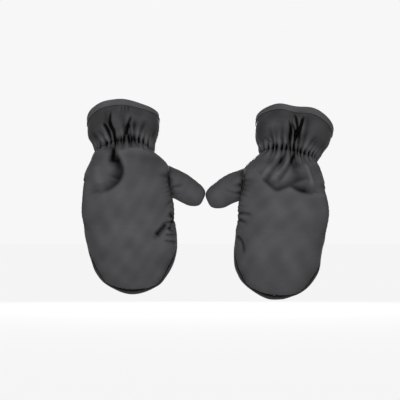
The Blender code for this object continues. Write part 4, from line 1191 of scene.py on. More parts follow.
def finger_panel(muff):
    """Lower palm panel: the back under the passage, and a rim that wraps forwards to the side and tip
    seam."""
    for kind, rows, columns, steps in (("cloth", 110, 150, 14), ("fleece", 50, 60, 8)):
        around = (math.pi - spread_columns(columns) * QUARTER)[None]
        back = np.broadcast_arrays(around, even_rows(FINGER_START, RIDGE, rows - 1)[:, None])
        rim = finger_rim(rows, columns, steps)
        base, rim_base = surface(*back), surface(*rim)
        rim_run = run_across(rim_base)
        to_seam = rim_run[:, -1:] - rim_run
        seam_run = np.broadcast_to(run_along(rim_base[:, 0])[:, None], to_seam.shape)
        top, bottom, left, right = edge_distances(base)
        rim_top = np.concatenate([top[:, 0], np.full(columns - 2, 1.0), top[::-1, 0]])[:, None]
        widths = rim_run[:, -1]
        sides = np.minimum(left + widths[-rows:][::-1][:, None], right + widths[:rows][:, None])
        below = np.concatenate([[1.0], widths[rows:-rows], [1.0]])[::-1]
        near = np.minimum(sides, bottom + below[None])
        faces = []
        for on_rim, grid, points, distance, top_distance in (
            (False, back, base, near, top),
            (True, rim, rim_base, to_seam, np.broadcast_to(rim_top, to_seam.shape)),
        ):
            height = calm_near_snaps(points, relief(muff, *grid) - muff["cloth"].loft_wave)
            corner = (top_distance / MOUTH_DRAW_REACH) ** 2 + (distance / MOUTH_DRAW_WIDTH) ** 2
            height = height - MOUTH_DRAW * np.exp(-corner)
            edge, tone = rolled(np.minimum(distance, top_distance), LINING_ROLL), height
            if kind == "cloth":
                if on_rim:
                    height = height + puckers(muff, distance, seam_run)
                    height = height - SEAM_DIP * bell(distance, SEAM_DIP_REACH)
                edge = rolled(top_distance, MOUTH_ROLL) * rolled(distance, SIDE_ROLL)
                # Painted shade: the folds' tone, darker over the whole rim and near it on the back.
                tone = shaded(height) - RIM_SHADE * (1 if on_rim else bell(distance, RIM_SHADE_REACH))
            faces.append((*panel_faces(kind, *grid, height, edge, SEAM_GAP / 2), tone))
        sewing = Sewing(muff)
        loops = []
        for face in (0, 1):
            grid = sewing.add(faces[0][face], faces[0][2])
            outline = np.concatenate([grid[:, -1], grid[-1, -2:0:-1], grid[::-1, 0]])
            wrapped = sewing.add(faces[1][face][:, 1:], faces[1][2][:, 1:])
            wrapped = np.concatenate([outline[:, None], wrapped], axis=1)
            sewing.patch(grid, cloth_run(base))
            sewing.patch(wrapped, np.stack([seam_run, rim_run], axis=-1))
            loop = (wrapped[0, ::-1], grid[0, -2::-1], wrapped[-1, 1:], wrapped[-2::-1, -1])
            loops.append(np.concatenate(loop))
        sewing.patch(np.stack(loops))
        if kind == "cloth":
            piece = sewing.piece("finger_padded_cloth", "shell", ("finger_shell", "finger_wadding"))
        else:
            piece = sewing.piece("finger_fleece", "fleece", ("finger_lining",))


# Cuff, hem band and wrist


def ring_around(columns):
    """Even angles round a whole turn, without the last."""
    return np.arange(columns) * 4 * QUARTER / columns


def ring_run(points):
    """Cloth coordinates of a ring, with one more column that closes it."""
    return cloth_run(closed_ring(points))


def cuff_pieces(muff):
    """Flared cuff: the outer cloth and its lining move together with the pleats and folds."""
    layers = (
        ("cloth", "shell", "cuff_shell", WRIST_GAP, 90, RING_COLUMNS, 0.0, CUFF_SHELL_THICKNESS, WRIST_ROLL),
        ("fleece", "fleece", "cuff_lining", ELASTIC_WIDTH / 2 + SEAM_GAP, 50, 260,
         SHELL_THICKNESS + LAYER_GAP, LINING_THICKNESS, LINING_ROLL),
    )
    for kind, finish, node, rise, rows, columns, sink, thickness, roll in layers:
        down = even_rows(HEM, along_at(WAIST_HEIGHT + rise), rows - 1)
        around, along = np.broadcast_arrays(ring_around(columns)[None], down[:, None])
        base = surface(around, along)
        top, bottom, _, _ = edge_distances(base)
        height = relief(muff, around, along)
        height = height - BAND_GROOVE * bell(top - BAND_WIDTH - BAND_GROOVE_REACH, BAND_GROOVE_REACH)
        edge, dip = rolled(bottom, roll), 0.0
        if kind == "cloth":
            edge, dip = np.ones_like(top), WRIST_DIP * (1 - edge)
        faces = layer_faces(around, along, height - dip - sink, np.full_like(height, thickness), edge, 0.0)
        sewing = Sewing(muff)
        # Painted shade: the folds' tone, darker over the whole cuff.
        closed_layer(sewing, *faces, ring_run(base), shaded(height) - CUFF_SHADE, ring=True)
        sewing.piece(f"cuff_{kind}", finish, (node,))


def band_section(width):
    """Section of the folded band: station coordinate, depth under the face and height over the hem.

    It goes up the outside, over the edge in a half circle and down the inside, and back along its own
    inner face."""
    outside, inside = -LAYER_GAP, SHELL_THICKNESS + 2 * LAYER_GAP + LINING_THICKNESS
    rows = np.linspace(along_at(WAIST_HEIGHT + CUFF_HEIGHT - width), HEM, 12)
    turn = np.linspace(0, math.pi, 9)[1:-1]
    centre, inner = (outside + inside) / 2, (inside - outside) / 2
    over, under = (
        np.concatenate([
            np.stack([rows, np.full(12, outside - thickness), np.zeros(12)], 1),
            np.stack([np.zeros(7), centre - (inner + thickness) * np.cos(turn), rise], 1),
            np.stack([rows[::-1], np.full(12, inside + thickness), np.zeros(12)], 1),
        ])
        for thickness, rise in (
            (BAND_THICKNESS, LAYER_GAP + BAND_THICKNESS * np.sin(turn)), (0, LAYER_GAP * np.sin(turn)),
        )
    )
    return np.concatenate([over, under[::-1]])


def hem_direction(around, along):
    """Direction in which the cuff's face runs out over the hem."""
    return unit(surface(around, np.zeros_like(along)) - surface(around, np.full_like(along, 1e-4)))


def hem_band(muff):
    """Band folded over the hem, with its stitches just inside its lower edge."""
    section = band_section(BAND_WIDTH)
    around, along = np.broadcast_arrays(ring_around(RING_COLUMNS)[None], section[:, :1])
    base = surface(around, along)
    run = run_along(base[0])[None]
    creases = np.abs(np.sin(run * math.pi / HEM_CREASE_PITCH + 1.1 * np.sin(run * 2 * math.pi / 0.031)))
    near_stitch = np.clip(along / section[0, 0], 0, 1)
    height = relief(muff, around, along) - HEM_CREASE * creases * near_stitch
    points = base + (height - section[:, 1:2])[..., None] * normals(around, along)
    points = points + section[:, 2:3][..., None] * hem_direction(around, along)
    sewing = Sewing(muff)
    # Tone height: the relief itself, so painted shade in its creases and folds, raised a millimetre as a painted
    # highlight on the band.
    grid = closed_ring(sewing.add(points, height + MILLIMETRE))
    sewing.patch(np.concatenate([grid, grid[:1]]), ring_run(np.concatenate([points, points[:1]])))
    piece = sewing.piece("hem_band", "shell", ("hem_binding",))
    around = ring_around(HEM_STITCH_COUNT)
    along = np.full(HEM_STITCH_COUNT, section[0, 0] * HEM_STITCH_SHARE)
    outward = normals(around, along)
    lift = relief(muff, around, along) + LAYER_GAP + BAND_THICKNESS
    spots = surface(around, along) + lift[:, None] * outward
    step = np.roll(spots, -1, axis=0) - np.roll(spots, 1, axis=0)
    sewing = Sewing(muff)
    stitches(sewing, spots, step, outward, 0.0021)
    sewing.piece("hem_stitches", "thread")


def stitches(sewing, spots, directions, outward, length):
    """Small rounded stitches, one at each spot along its direction, half sunk in the cloth."""
    turns = ring_around(6)
    ends = np.array([-1.0, -0.86, -0.5, 0.0, 0.5, 0.86, 1.0])
    girth = np.sqrt(np.clip(1 - np.abs(ends) ** 4, 0.02, 1))
    directions = unit(directions)
    aside = np.cross(outward, directions)
    lie = ends[None, :, None, None] * length / 2 * directions[:, None, None]
    arch = THREAD_RADIUS * 0.5 * (1 - ends**2)[None, :, None, None] * outward[:, None, None]
    round_aside = np.cos(turns)[None, None, :, None] * aside[:, None, None]
    round_out = np.sin(turns)[None, None, :, None] * outward[:, None, None]
    around = THREAD_RADIUS * girth[None, :, None, None] * (round_aside + round_out)
    numbers = sewing.add(spots[:, None, None] + lie + arch + around)
    after = np.roll(numbers, -1, axis=-1)
    cells = [np.stack([numbers[:, :-1], numbers[:, 1:], after[:, 1:], after[:, :-1]], axis=-1).reshape(-1, 4)]
    for ring in (numbers[:, 0], numbers[:, -1]):
        cells.append(np.concatenate([ring[:, [0, 1, 2, 3]], ring[:, [0, 3, 4, 5]]]))
    sewing.faces.extend(cells)
    sewing.coordinates.append(np.zeros((sum(map(len, cells)), 4, 2)))


def wrist_band(muff):
    """Elastic ring in the wrist's groove: ribs across it that follow the pleats."""
    rows = [along_at(WAIST_HEIGHT + side * ELASTIC_WIDTH / 2) for side in (1, -1)]
    around, along = np.broadcast_arrays(ring_around(RING_COLUMNS)[None], np.linspace(*rows, 10)[:, None])
    base = surface(around, along)
    cover = relief(muff, around, along)
    _, floor = padded_lift(cover, around, along)
    height = np.minimum(floor, cover - CUFF_SHELL_THICKNESS - WRIST_DIP) - ELASTIC_CLEARANCE
    height = height + ELASTIC_RIB * np.cos(around * ELASTIC_RIB_COUNT)
    top, bottom, _, _ = edge_distances(base)
    edge = rolled(np.minimum(top, bottom), ELASTIC_ROLL)
    faces = layer_faces(around, along, height, np.full_like(height, ELASTIC_THICKNESS), edge, 0.0)
    sewing = Sewing(muff)
    closed_layer(sewing, *faces, ring_run(base), ring=True)
    sewing.piece("wrist_band", "elastic", ("wrist_elastic",))


# Mouths of the passage


def mouth_casings(muff):
    """Gathered elastic casings along the front panel's edges at both mouths: a ribbed oval tube."""
    ends = [along_at(PASSAGE_RISE + side * CASING_HEIGHT_SHARE * EYE_HALF_HEIGHT) for side in (1, -1)]
    along = even_rows(*ends, CASING_ROWS)
    along = along[eye_shares(along) > STRIP_WIDTH / outline_at(along)[2]]
    edge, depth = eye_shares(along), outline_at(along)[2]
    turns = ring_around(CASING_SIDES)
    size = np.abs(np.cos(turns)) ** CASING_POWER + np.abs(np.sin(turns)) ** CASING_POWER
    size = size ** (-1 / CASING_POWER)
    for place, side in (("outer", 1), ("inner", -1)):
        front, back, rim = (
            side * edge_around(edge + reach / depth) for reach in (CASING_OVERLAP, -STRIP_WIDTH, 0)
        )
        middle = (front + back) / 2
        height = relief(muff, rim, along) + mouth_gathers(muff, surface(rim, along))[0]
        thickness, _ = padded_lift(height, rim, along)
        centre = surface(middle, along) + (height - thickness / 2)[:, None] * normals(middle, along)
        centre[:, 1] -= SEAM_GAP / 2
        wide = (surface(front, along) - surface(back, along)) / 2
        out = normals(middle, along) * CASING_THICKNESS / 2
        run = run_along(centre)
        ends = np.sqrt(np.clip(1 - np.abs(2 * run / run[-1] - 1) ** 30, 0.05, 1))
        beat = np.cos(run * 2 * math.pi / CASING_PITCH + 1.4 * np.sin(run * 2 * math.pi / 0.019))
        ruffle = ((0.97 + 0.03 * beat) * ends)[:, None]
        points = centre[:, None] + (ruffle * (np.cos(turns) * size))[..., None] * wide[:, None]
        points = points + (ruffle * (np.sin(turns) * size))[..., None] * out[:, None]
        sewing = Sewing(muff)
        # Painted shade: the casing's tone is darker in the troughs of its gathers and most at its closed ends.
        grid = closed_ring(sewing.add(points, (ruffle - 1.1) * 5 * MILLIMETRE * np.ones(CASING_SIDES)))
        sewing.capped_tube(grid, points[[0, -1]].mean(axis=1), ring_run(points))
        piece = sewing.piece(f"{place}_mouth_casing", "elastic", (f"{place}_mouth_elastic",))


# Thumb pocket


def thumb_axes(places):
    """Centres, sideways frame and taper of the thumb pocket's tube at shares of its length."""
    root, tip = np.array(THUMB_ROOT), np.array(THUMB_TIP)
    route = root + np.array(THUMB_ROUTE_SHARES) * (tip - root)
    spots = places * (len(route) - 1)
    centres = np.stack([smooth_through(spots, route[:, axis]) for axis in range(3)], axis=1)
    tangents = unit(np.gradient(centres, places, axis=0))
    backward = unit(np.array([0, 1, 0]) - tangents[:, 1:2] * tangents)
    return centres, np.cross(backward, tangents), backward, 1 - THUMB_TAPER_SHARE * places**2


def thumb_face(muff, places, turns, inset, folded):
    """Points of the thumb pocket's face at a depth: an oval tube that narrows and closes in a round tip."""
    last = thumb_last(inset)
    cap = np.clip((places - THUMB_ROUND_SHARE) / (last - THUMB_ROUND_SHARE), 0, 1)
    roundness = np.sqrt(np.clip(1 - cap**2, 0, 1))
    centres, upward, backward, taper = thumb_axes(np.minimum(places, last))
    tall, deep = (
        ((half * taper - inset) * roundness)[:, None, None] for half in (THUMB_HALF_HEIGHT, THUMB_HALF_DEPTH)
    )
    high, aside = np.cos(turns)[None, :, None], np.sin(turns)[None, :, None]
    points = centres[:, None] + tall * high * upward[:, None] + deep * aside * backward[:, None]
    outward = unit(high * upward[:, None] * THUMB_HALF_DEPTH + aside * backward[:, None] * THUMB_HALF_HEIGHT)
    if not folded:
        return points, np.zeros(points.shape[:-1])
    front = np.clip(-3 * np.sin(turns), 0, 1)[None] * roundness[:, None]
    height = 0.6 * loft_waves(muff, points * 1.4) * roundness[:, None]
    for path, widths, depths, side in muff["thumb_folds"]:
        height = height + front * fold(points, path, widths, depths, side)
    return points + height[..., None] * outward, height


def thumb_last(inset):
    """Share of the thumb pocket's length at which a face at this depth ends."""
    return 1 - inset / np.linalg.norm(np.array(THUMB_TIP) - np.array(THUMB_ROOT))


def inside_body(points):
    """Share of the body's ring at each point: under one inside the body's outer face.

    The ring's height is found by taking the lean and the bow off the point's own height, a few times
    over."""
    places = np.linspace(HEM, RIDGE, OUTLINE_STEPS)
    heights = outline_at(places)[0]
    height = points[..., 2]
    for _ in range(4):
        along = np.interp(-height, -heights, places)
        _, width, depth = outline_at(along)
        splay, set_back, lean, bow, _ = shift_at(along)
        across, ahead = (points[..., 0] - splay) / width, (set_back + SEAM_GAP - points[..., 1]) / depth
        cosine = ahead / np.maximum(np.hypot(across, ahead), 1e-9)
        height = points[..., 2] - lean * cosine - bow * cosine**2
    return (np.abs(across) ** RING_POWER + np.abs(ahead) ** RING_POWER) ** (1 / RING_POWER)


def thumb_lines(muff, turns, depth, start, shares):
    """Points and heights of a thumb face, read off fine lines at even shares from each line's own start."""
    last = thumb_last(depth)
    fine = np.linspace(0, last, 400)
    lines, heights = thumb_face(muff, fine, turns, depth, True)
    spot = (start + shares[:, None] * (last - 1e-4 - start)) / last * (len(fine) - 1)
    low = np.clip(spot.astype(int), 0, len(fine) - 2)
    part, column = spot - low, np.arange(len(turns))[None]
    points = lines[low, column] * (1 - part[..., None]) + lines[low + 1, column] * part[..., None]
    return points, heights[low, column] * (1 - part) + heights[low + 1, column] * part


def thumb_pocket(muff):
    """Thumb pocket: for each line along the tube the face starts where the tube leaves the body's face."""
    for kind, rows, columns, outset, inset in (
        ("cloth", 110, 96, 0.0, SHELL_THICKNESS), ("fleece", 60, 60, SHELL_THICKNESS + LAYER_GAP, THUMB_WALL),
    ):
        turns = ring_around(columns)
        probe = np.linspace(0, 1, 200)
        outside = inside_body(thumb_face(muff, probe, turns, outset, False)[0]) > 1.006
        start = probe[np.maximum(np.argmax(outside, axis=0), 1)]
        start = (start + np.roll(start, 1) + np.roll(start, -1)) / 3
        shares = np.sin(np.linspace(0, QUARTER, rows))
        faces = [thumb_lines(muff, turns, depth, start, shares) for depth in (outset, inset)]
        outer = faces[0][0]
        root_run = run_across(outer.swapaxes(0, 1)).T
        gather = ROOT_GATHER * np.cos(turns * 11 + 1.5 * np.sin(turns * 3)) * np.exp(-root_run / 0.007)
        away = outer - outer.mean(axis=1, keepdims=True)
        away = away / np.maximum(np.linalg.norm(away, axis=-1, keepdims=True), 1e-6)
        faces = [(points + gather[..., None] * away, height + gather) for points, height in faces]
        sewing = Sewing(muff)
        roots = []
        for points, height in faces:
            # Painted shade: the folds' tone, darker near the root where the pocket leaves the body.
            tone = shaded(height) - SEAM_SHADE * bell(root_run, SEAM_SHADE_REACH)
            grid = closed_ring(sewing.add(points, tone))
            tip = sewing.add(points[-1].mean(axis=0)[None, None])[0, 0]
            sewing.patch(grid, ring_run(points))
            sewing.fan(grid[-1], tip)
            roots.append(grid[0])
        sewing.patch(np.stack(roots))
        if kind == "cloth":
            sewing.piece("thumb_cloth", "shell", ("thumb_shell",))
        else:
            piece = sewing.piece("thumb_fleece", "fleece", ("thumb_lining",))


# Flap and press studs


def flap_depth(height):
    """Depth of the flap's inner face: on the finger panel at its seam, on the press studs at its top."""
    share = np.clip((height + FLAP_SEAM_DROP) / (SNAP_HEIGHT - CAP_RADIUS + FLAP_SEAM_DROP), 0, 1)
    return -(LAYER_GAP + (SNAP_STACK - LAYER_GAP) * share)


def flap_sheet(rows, columns):
    """Smooth inner face of the flap, its outward directions, and its places across and from its top
    edge."""
    along = even_rows(along_at(FLAP_TOP_HEIGHT), along_at(-FLAP_SEAM_DROP), rows - 1)
    height, width = outline_at(along)[:2]
    from_top = FLAP_TOP_HEIGHT - height
    corner = FLAP_CORNER - np.clip(from_top, 0, FLAP_CORNER)
    half = FLAP_HALF_WIDTH - FLAP_CORNER + np.sqrt(FLAP_CORNER**2 - corner**2)
    sideways = FLAP_OFFSET + half[:, None] * spread_columns(columns)[::-1]
    around = back_around(sideways / width[:, None])
    rows_along = along[:, None] * np.ones_like(around)
    outward = normals(around, rows_along)
    base = surface(around, rows_along) - flap_depth(height)[:, None, None] * outward
    return base + np.array([0, SEAM_GAP / 2, 0]), outward


def flap_pieces(muff):
    """Flap of outer cloth over fleece, with a stitched border and dimples in which the sockets sit."""
    base, outward = flap_sheet(96, 84)
    near = np.minimum.reduce(edge_distances(base))
    run = cloth_run(base)
    loft = FLAP_LOFT * np.clip((near - FLAP_STITCH_INSET) / FLAP_LOFT_REACH, 0, 1)
    groove = FLAP_GROOVE * bell(near - FLAP_STITCH_INSET, FLAP_GROOVE_REACH)
    height = loft - groove + 0.5 * puckers(muff, near, run.sum(axis=-1))
    waves = FLAP_WAVE_SHARE * loft_waves(muff, base) * np.clip(near / FLAP_WAVE_START, 0, 1)
    calm, dimple = np.ones_like(near), np.zeros_like(near)
    for spot, direction in snap_frames():
        distance = np.linalg.norm(base - spot - SNAP_STACK * direction, axis=-1)
        calm = calm * (1 - bell(distance, SNAP_CALM_REACH))
        dimple = dimple + 1 / (1 + np.exp((distance - SOCKET_RADIUS - DIMPLE_MARGIN) / DIMPLE_EDGE))
    height = np.minimum((height + np.minimum(waves, 0)) * calm, FLAP_MOST_PROUD)
    height = np.where(height < 0, 0.5 * height, height)
    half, edge = SHELL_THICKNESS / 2, rolled(near, FLAP_ROLL)
    middle = LINING_THICKNESS + LAYER_GAP + half
    over = base + (middle + half * edge + height)[..., None] * outward
    under = base + (middle - half * edge)[..., None] * outward
    sewing = Sewing(muff)
    # Painted shade and highlight: twice the folds' tone, darker in the groove and puckers and lighter on the loft.
    closed_layer(sewing, over, under, run, 2 * shaded(height))
    sewing.piece("flap_cloth", "shell", ("flap_shell",), "flap")
    half, edge = LINING_THICKNESS / 2, rolled(near, LINING_ROLL)
    over = base + (half * (1 + edge))[..., None] * outward
    under = base + (half * (1 - edge) + FLAP_DIMPLE * dimple)[..., None] * outward
    sewing = Sewing(muff)
    closed_layer(sewing, over, under, run)
    sewing.piece("flap_fleece", "fleece", ("flap_lining",), "flap")
    flap_stitches(muff, base, outward, near)


def flap_stitches(muff, base, outward, near):
    """Stitches round three sides of the flap, inside its edge."""
    rows, columns = near.shape
    middles = (near[rows // 2], near[:, columns // 2])
    inset, inset_row = (int(np.argmax(line > FLAP_STITCH_INSET)) for line in middles)
    sides = np.arange(rows - 3, inset_row, -1)
    line = np.concatenate([
        np.stack([sides, np.full(len(sides), inset)], 1),
        np.stack([np.full(columns - 2 * inset, inset_row), np.arange(inset, columns - inset)], 1),
        np.stack([np.arange(inset_row, rows - 3), np.full(len(sides), columns - 1 - inset)], 1),
    ])
    directions = outward[line[:, 0], line[:, 1]]
    path = base[line[:, 0], line[:, 1]] + FLAP_THICKNESS * directions
    run = run_along(path)
    at = np.arange(0.001, run[-1], STITCH_PITCH)
    spots, out = (
        np.stack([np.interp(at, run, part) for part in values.T], axis=1) for values in (path, directions)
    )
    sewing = Sewing(muff)
    stitches(sewing, spots, np.gradient(spots, axis=0), unit(out), 0.0022)
    sewing.piece("flap_stitches", "thread", part="flap")


def snap_frames():
    """Place and outward direction of each press stud on the body's back face."""
    along = along_at(SNAP_HEIGHT)
    width = outline_at(along)[1]
    steps = (SNAP_COUNT - 1) / 2 - np.arange(SNAP_COUNT)
    around = back_around((FLAP_OFFSET + steps * SNAP_PITCH) / width)
    rows = np.full_like(around, along)
    points = surface(around, rows) + np.array([0, SEAM_GAP / 2, 0])
    return list(zip(points, normals(around, rows)))


def turned(sewing, profile, spot, outward, sides=48):
    """A profile of radius and height turned about a press stud's axis. It starts and ends on the axis."""
    profile = np.array(profile)
    turns = ring_around(sides)
    first = unit(np.cross(outward, (0, 0, 1)))
    second = np.cross(outward, first)
    ring = np.cos(turns)[:, None] * first + np.sin(turns)[:, None] * second
    points = spot + profile[1:-1, :1, None] * ring + profile[1:-1, 1:, None] * outward
    sewing.capped_tube(closed_ring(sewing.add(points)), spot + profile[[0, -1], 1:] * outward)


def rounded(corners, radius, steps=4):
    """A profile with each inner corner rounded by a small arc, as points on the curve between its sides."""
    corners = np.array(corners, float)
    made = [corners[0]]
    for before, here, after in zip(corners, corners[1:], corners[2:]):
        start = here + (before - here) * min(radius / np.linalg.norm(before - here), 0.5)
        stop = here + (after - here) * min(radius / np.linalg.norm(after - here), 0.5)
        for share in np.linspace(0, 1, steps):
            made.append((1 - share) ** 2 * start + 2 * share * (1 - share) * here + share**2 * stop)
    return [*made, corners[-1]]


def press_studs(muff):
    """Studs on the heel panel, and sockets with a spring ring and domed caps on the flap."""
    knob = SNAP_GAP + STUD_FLANGE
    stud = (
        (0, SNAP_GAP), (STUD_RADIUS, SNAP_GAP), (STUD_RADIUS, knob), (STUD_KNOB_RADIUS * 1.5, knob * 0.97),
        (STUD_KNOB_RADIUS * 0.86, knob + 0.0002), (STUD_KNOB_RADIUS, knob + STUD_KNOB_HEIGHT * 0.6),
        (STUD_KNOB_RADIUS * 0.8, knob + STUD_KNOB_HEIGHT), (0, knob + STUD_KNOB_HEIGHT),
    )
    top = SNAP_STACK + SOCKET_THICKNESS
    socket = (
        (0, top), (SOCKET_RADIUS, top), (SOCKET_RADIUS, SNAP_STACK + 0.00012),
        (SOCKET_RADIUS * 0.84, SNAP_STACK), (SOCKET_RADIUS * 0.66, SNAP_STACK + 0.0002),
        (SOCKET_BORE_RADIUS * 1.1, SNAP_STACK + 0.00005), (SOCKET_BORE_RADIUS, SNAP_STACK + 0.0003),
        (SOCKET_BORE_RADIUS, top - 0.00015), (0, top - 0.00015),
    )
    low = SNAP_STACK + FLAP_THICKNESS + SNAP_GAP
    high = low + CAP_THICKNESS
    cap = (
        (0, low), (CAP_RADIUS * 0.94, low), (CAP_RADIUS, low + CAP_ROUNDING * 0.5),
        (CAP_RADIUS * 0.985, high - CAP_ROUNDING), (CAP_RADIUS * 0.84, high - 0.00012),
        (CAP_RADIUS * 0.74, high - 0.00026), (CAP_RADIUS * 0.62, high - 0.0001), (0, high),
    )
    for number, (spot, outward) in enumerate(snap_frames(), start=1):
        for stem, corners, part in (("stud", stud, "muff"), ("socket", socket, "flap"), ("cap", cap, "flap")):
            sewing = Sewing(muff)
            turned(sewing, rounded(corners, METAL_ROUNDING), spot, outward)
            node = f"snap_{stem}_{number}"
            sewing.piece(f"{node}_turned", "metal", (node,), part)


# The stage


def seen_rays(tree):
    """One where the camera, a glossy or a transmission ray looks, and nought elsewhere."""
    path = tree.nodes.new("ShaderNodeLightPath")
    both = math_node(tree, "MAXIMUM", path.outputs["Is Camera Ray"], path.outputs["Is Glossy Ray"])
    return math_node(tree, "MAXIMUM", both, path.outputs["Is Transmission Ray"])


def make_floor(stage):
    """Floor: a diffuse face for the light, and for the camera the backdrop's own glow with a faint
    shadow."""
    material = bpy.data.materials.new("stage_floor")
    material.use_nodes = True
    tree = material.node_tree
    tree.nodes.clear()
    plain, faint = (
        linked(tree, "ShaderNodeBsdfDiffuse", Color=(*(share * part for part in stage.backdrop_colour), 1))
        for share in (0.3, 0.05)
    )
    glow = linked(tree, "ShaderNodeEmission", Color=(*stage.backdrop_colour, 1), Strength=0.97)
    shown = tree.nodes.new("ShaderNodeAddShader")
    tree.links.new(faint.outputs[0], shown.inputs[0])
    tree.links.new(glow.outputs[0], shown.inputs[1])
    split_rays(tree, plain, shown, "ShaderNodeOutputMaterial")
    half = stage.floor_half
    places = ((-half, -half), (half, -half), (half, half), (-half, half))
    corners = [(x, y, -stage.floor_drop) for x, y in places]
    mesh = bpy.data.meshes.new("stage_floor")
    mesh.from_pydata(corners, [], [(0, 1, 2, 3)])
    mesh.materials.append(material)
    added("stage_floor", mesh)


def make_world(stage):
    """World: the backdrop's colour to look at, and an even fill light."""
    world = bpy.data.worlds.new("studio")
    bpy.context.scene.world = world
    world.use_nodes = True
    tree = world.node_tree
    tree.nodes.clear()
    seen = linked(tree, "ShaderNodeBackground", Color=(*stage.backdrop_colour, 1), Strength=1.0)
    fill = linked(tree, "ShaderNodeBackground", Color=(1, 1, 1, 1), Strength=stage.fill_level)
    split_rays(tree, fill, seen, "ShaderNodeOutputWorld")


def split_rays(tree, lighting, shown, output):
    """Sends one shader to the rays that light the object, and the other where camera, glossy and
    transmission rays look."""
    mixed = tree.nodes.new("ShaderNodeMixShader")
    for value, place in zip((seen_rays(tree), lighting.outputs[0], shown.outputs[0]), mixed.inputs):
        tree.links.new(value, place)
    tree.links.new(mixed.outputs[0], tree.nodes.new(output).inputs[0])


def area_lamp(name, place, power):
    """A soft rectangular lamp that points at the middle of the pair."""
    lamp = bpy.data.lights.new(name, "AREA")
    lamp.shape, lamp.size, lamp.size_y = "RECTANGLE", *LAMP_SIZE
    lamp.energy = power
    made = added(name, lamp)
    made.location = place
    made.visible_camera = False
    made.rotation_euler = Vector([-part for part in place]).to_track_quat("-Z", "Y").to_euler()


def make_camera(stage):
    """A level camera whose lens shows the view's width at the pair."""
    data = bpy.data.cameras.new("camera")
    data.sensor_width = 36
    data.lens = data.sensor_width * stage.camera_distance / stage.view_width
    data.clip_end = 50
    made = added("camera", data)
    made.location = (stage.view_centre[0], -stage.camera_distance, stage.view_centre[1])
    made.rotation_euler = (math.radians(90), 0, 0)
    bpy.context.scene.camera = made


# Settings, operators and panel


class MuffClothSettings(bpy.types.PropertyGroup):
    """Sizes of the folds and gathers in the cloth."""

    fold_share: bpy.props.FloatProperty(
        name="Fold depth", description="Depth of the large folds, as a share of their full depth",
        default=1.0,
        min=0, max=1.5, subtype="FACTOR",
    )
    pleat_share: bpy.props.FloatProperty(
        name="Pleat depth", description="Depth of the wrist's pleats, as a share of their full depth",
        default=1.6,
        min=0, max=2, subtype="FACTOR",
    )
    pleat_width: bpy.props.FloatProperty(
        name="Pleat width", description="Width of a wrist pleat at the elastic", default=0.0017, min=0.0005,
        max=0.005, precision=4, unit="LENGTH",
    )
    wrist_puff: bpy.props.FloatProperty(
        name="Wrist puff", description="How far the cloth swells beside the wrist's elastic",
        default=0.0028,
        min=0, max=0.004, precision=4, unit="LENGTH",
    )
    loft_wave: bpy.props.FloatProperty(
        name="Loft waves", description="Height of the slow waves in the padding", default=0.00030, min=0,
        max=0.002, precision=5, unit="LENGTH",
    )
    pucker_depth: bpy.props.FloatProperty(
        name="Seam puckers", description="Depth of the puckers along the seams",
        default=0.0011, min=0, max=0.002,
        precision=4, unit="LENGTH",
    )


class MuffFinishSettings(bpy.types.PropertyGroup):
    """Colours and surfaces of the materials."""

    fabric_colour: bpy.props.FloatVectorProperty(
        name="Outer fabric", description="Colour of the satin outer fabric",
        default=(0.084, 0.0812, 0.0856),
        min=0, max=1, subtype="COLOR",
    )
    fleece_colour: bpy.props.FloatVectorProperty(
        name="Fleece", description="Colour of the fleece lining",
        default=(0.055, 0.055, 0.058), min=0, max=1,
        subtype="COLOR",
    )
    elastic_colour: bpy.props.FloatVectorProperty(
        name="Elastic", description="Colour of the elastic casings",
        default=(0.030, 0.029, 0.031), min=0, max=1,
        subtype="COLOR",
    )
    metal_colour: bpy.props.FloatVectorProperty(
        name="Press studs", description="Colour of the plated press studs",
        default=(0.11, 0.11, 0.12), min=0,
        max=1, subtype="COLOR",
    )
    thread_colour: bpy.props.FloatVectorProperty(
        name="Thread", description="Colour of the sewing thread",
        default=(0.045, 0.044, 0.046), min=0, max=1,
        subtype="COLOR",
    )
    fabric_roughness: bpy.props.FloatProperty(
        name="Fabric roughness", description="Roughness of the outer fabric's sheen",
        default=0.46, min=0, max=1,
        subtype="FACTOR",
    )
    weave_pitch: bpy.props.FloatProperty(
        name="Weave pitch", description="Distance between threads in the outer fabric", default=0.0004,
        min=0.0001, max=0.002, precision=5, unit="LENGTH",
    )


class MuffStageSettings(bpy.types.PropertyGroup):
    """Camera, lamps and floor."""

    camera_distance: bpy.props.FloatProperty(
        name="Camera distance", description="Distance from the camera to the pair's middle",
        default=3.0, min=0.5,
        unit="LENGTH",
    )
    view_width: bpy.props.FloatProperty(
        name="View width", description="Width of the view at the pair's middle", default=0.6, min=0.1,
        unit="LENGTH",
    )
    view_centre: bpy.props.FloatVectorProperty(
        name="View centre", description="Place across and up at the middle of the view", size=2,
        default=(-0.00825, 0.0075), precision=5, unit="LENGTH",
    )
    floor_drop: bpy.props.FloatProperty(
        name="Floor drop", description="Depth of the floor under the passage's line",
        default=0.32, unit="LENGTH",
    )
    floor_half: bpy.props.FloatProperty(
        name="Floor half width", description="Half the width of the floor", default=12.0, unit="LENGTH",
    )
    backdrop_colour: bpy.props.FloatVectorProperty(
        name="Backdrop", description="Colour of the floor and the backdrop",
        default=(0.93, 0.93, 0.93), min=0,
        max=1, subtype="COLOR",
    )
    front_power: bpy.props.FloatProperty(
        name="Front lamp", description="Power of the large lamp behind the camera", default=98.0, min=0,
        unit="POWER",
    )
    back_power: bpy.props.FloatProperty(
        name="Back lamp", description="Power of the lamp behind the pair",
        default=60.0, min=0, unit="POWER",
    )
    fill_level: bpy.props.FloatProperty(
        name="Fill level", description="Strength of the even light from all round",
        default=0.06, min=0, max=2,
    )


def dressed(context, *makers):
    """Runs the makers for each muff."""
    for muff in muffs(context):
        for make in makers:
            make(muff)
    return {"FINISHED"}


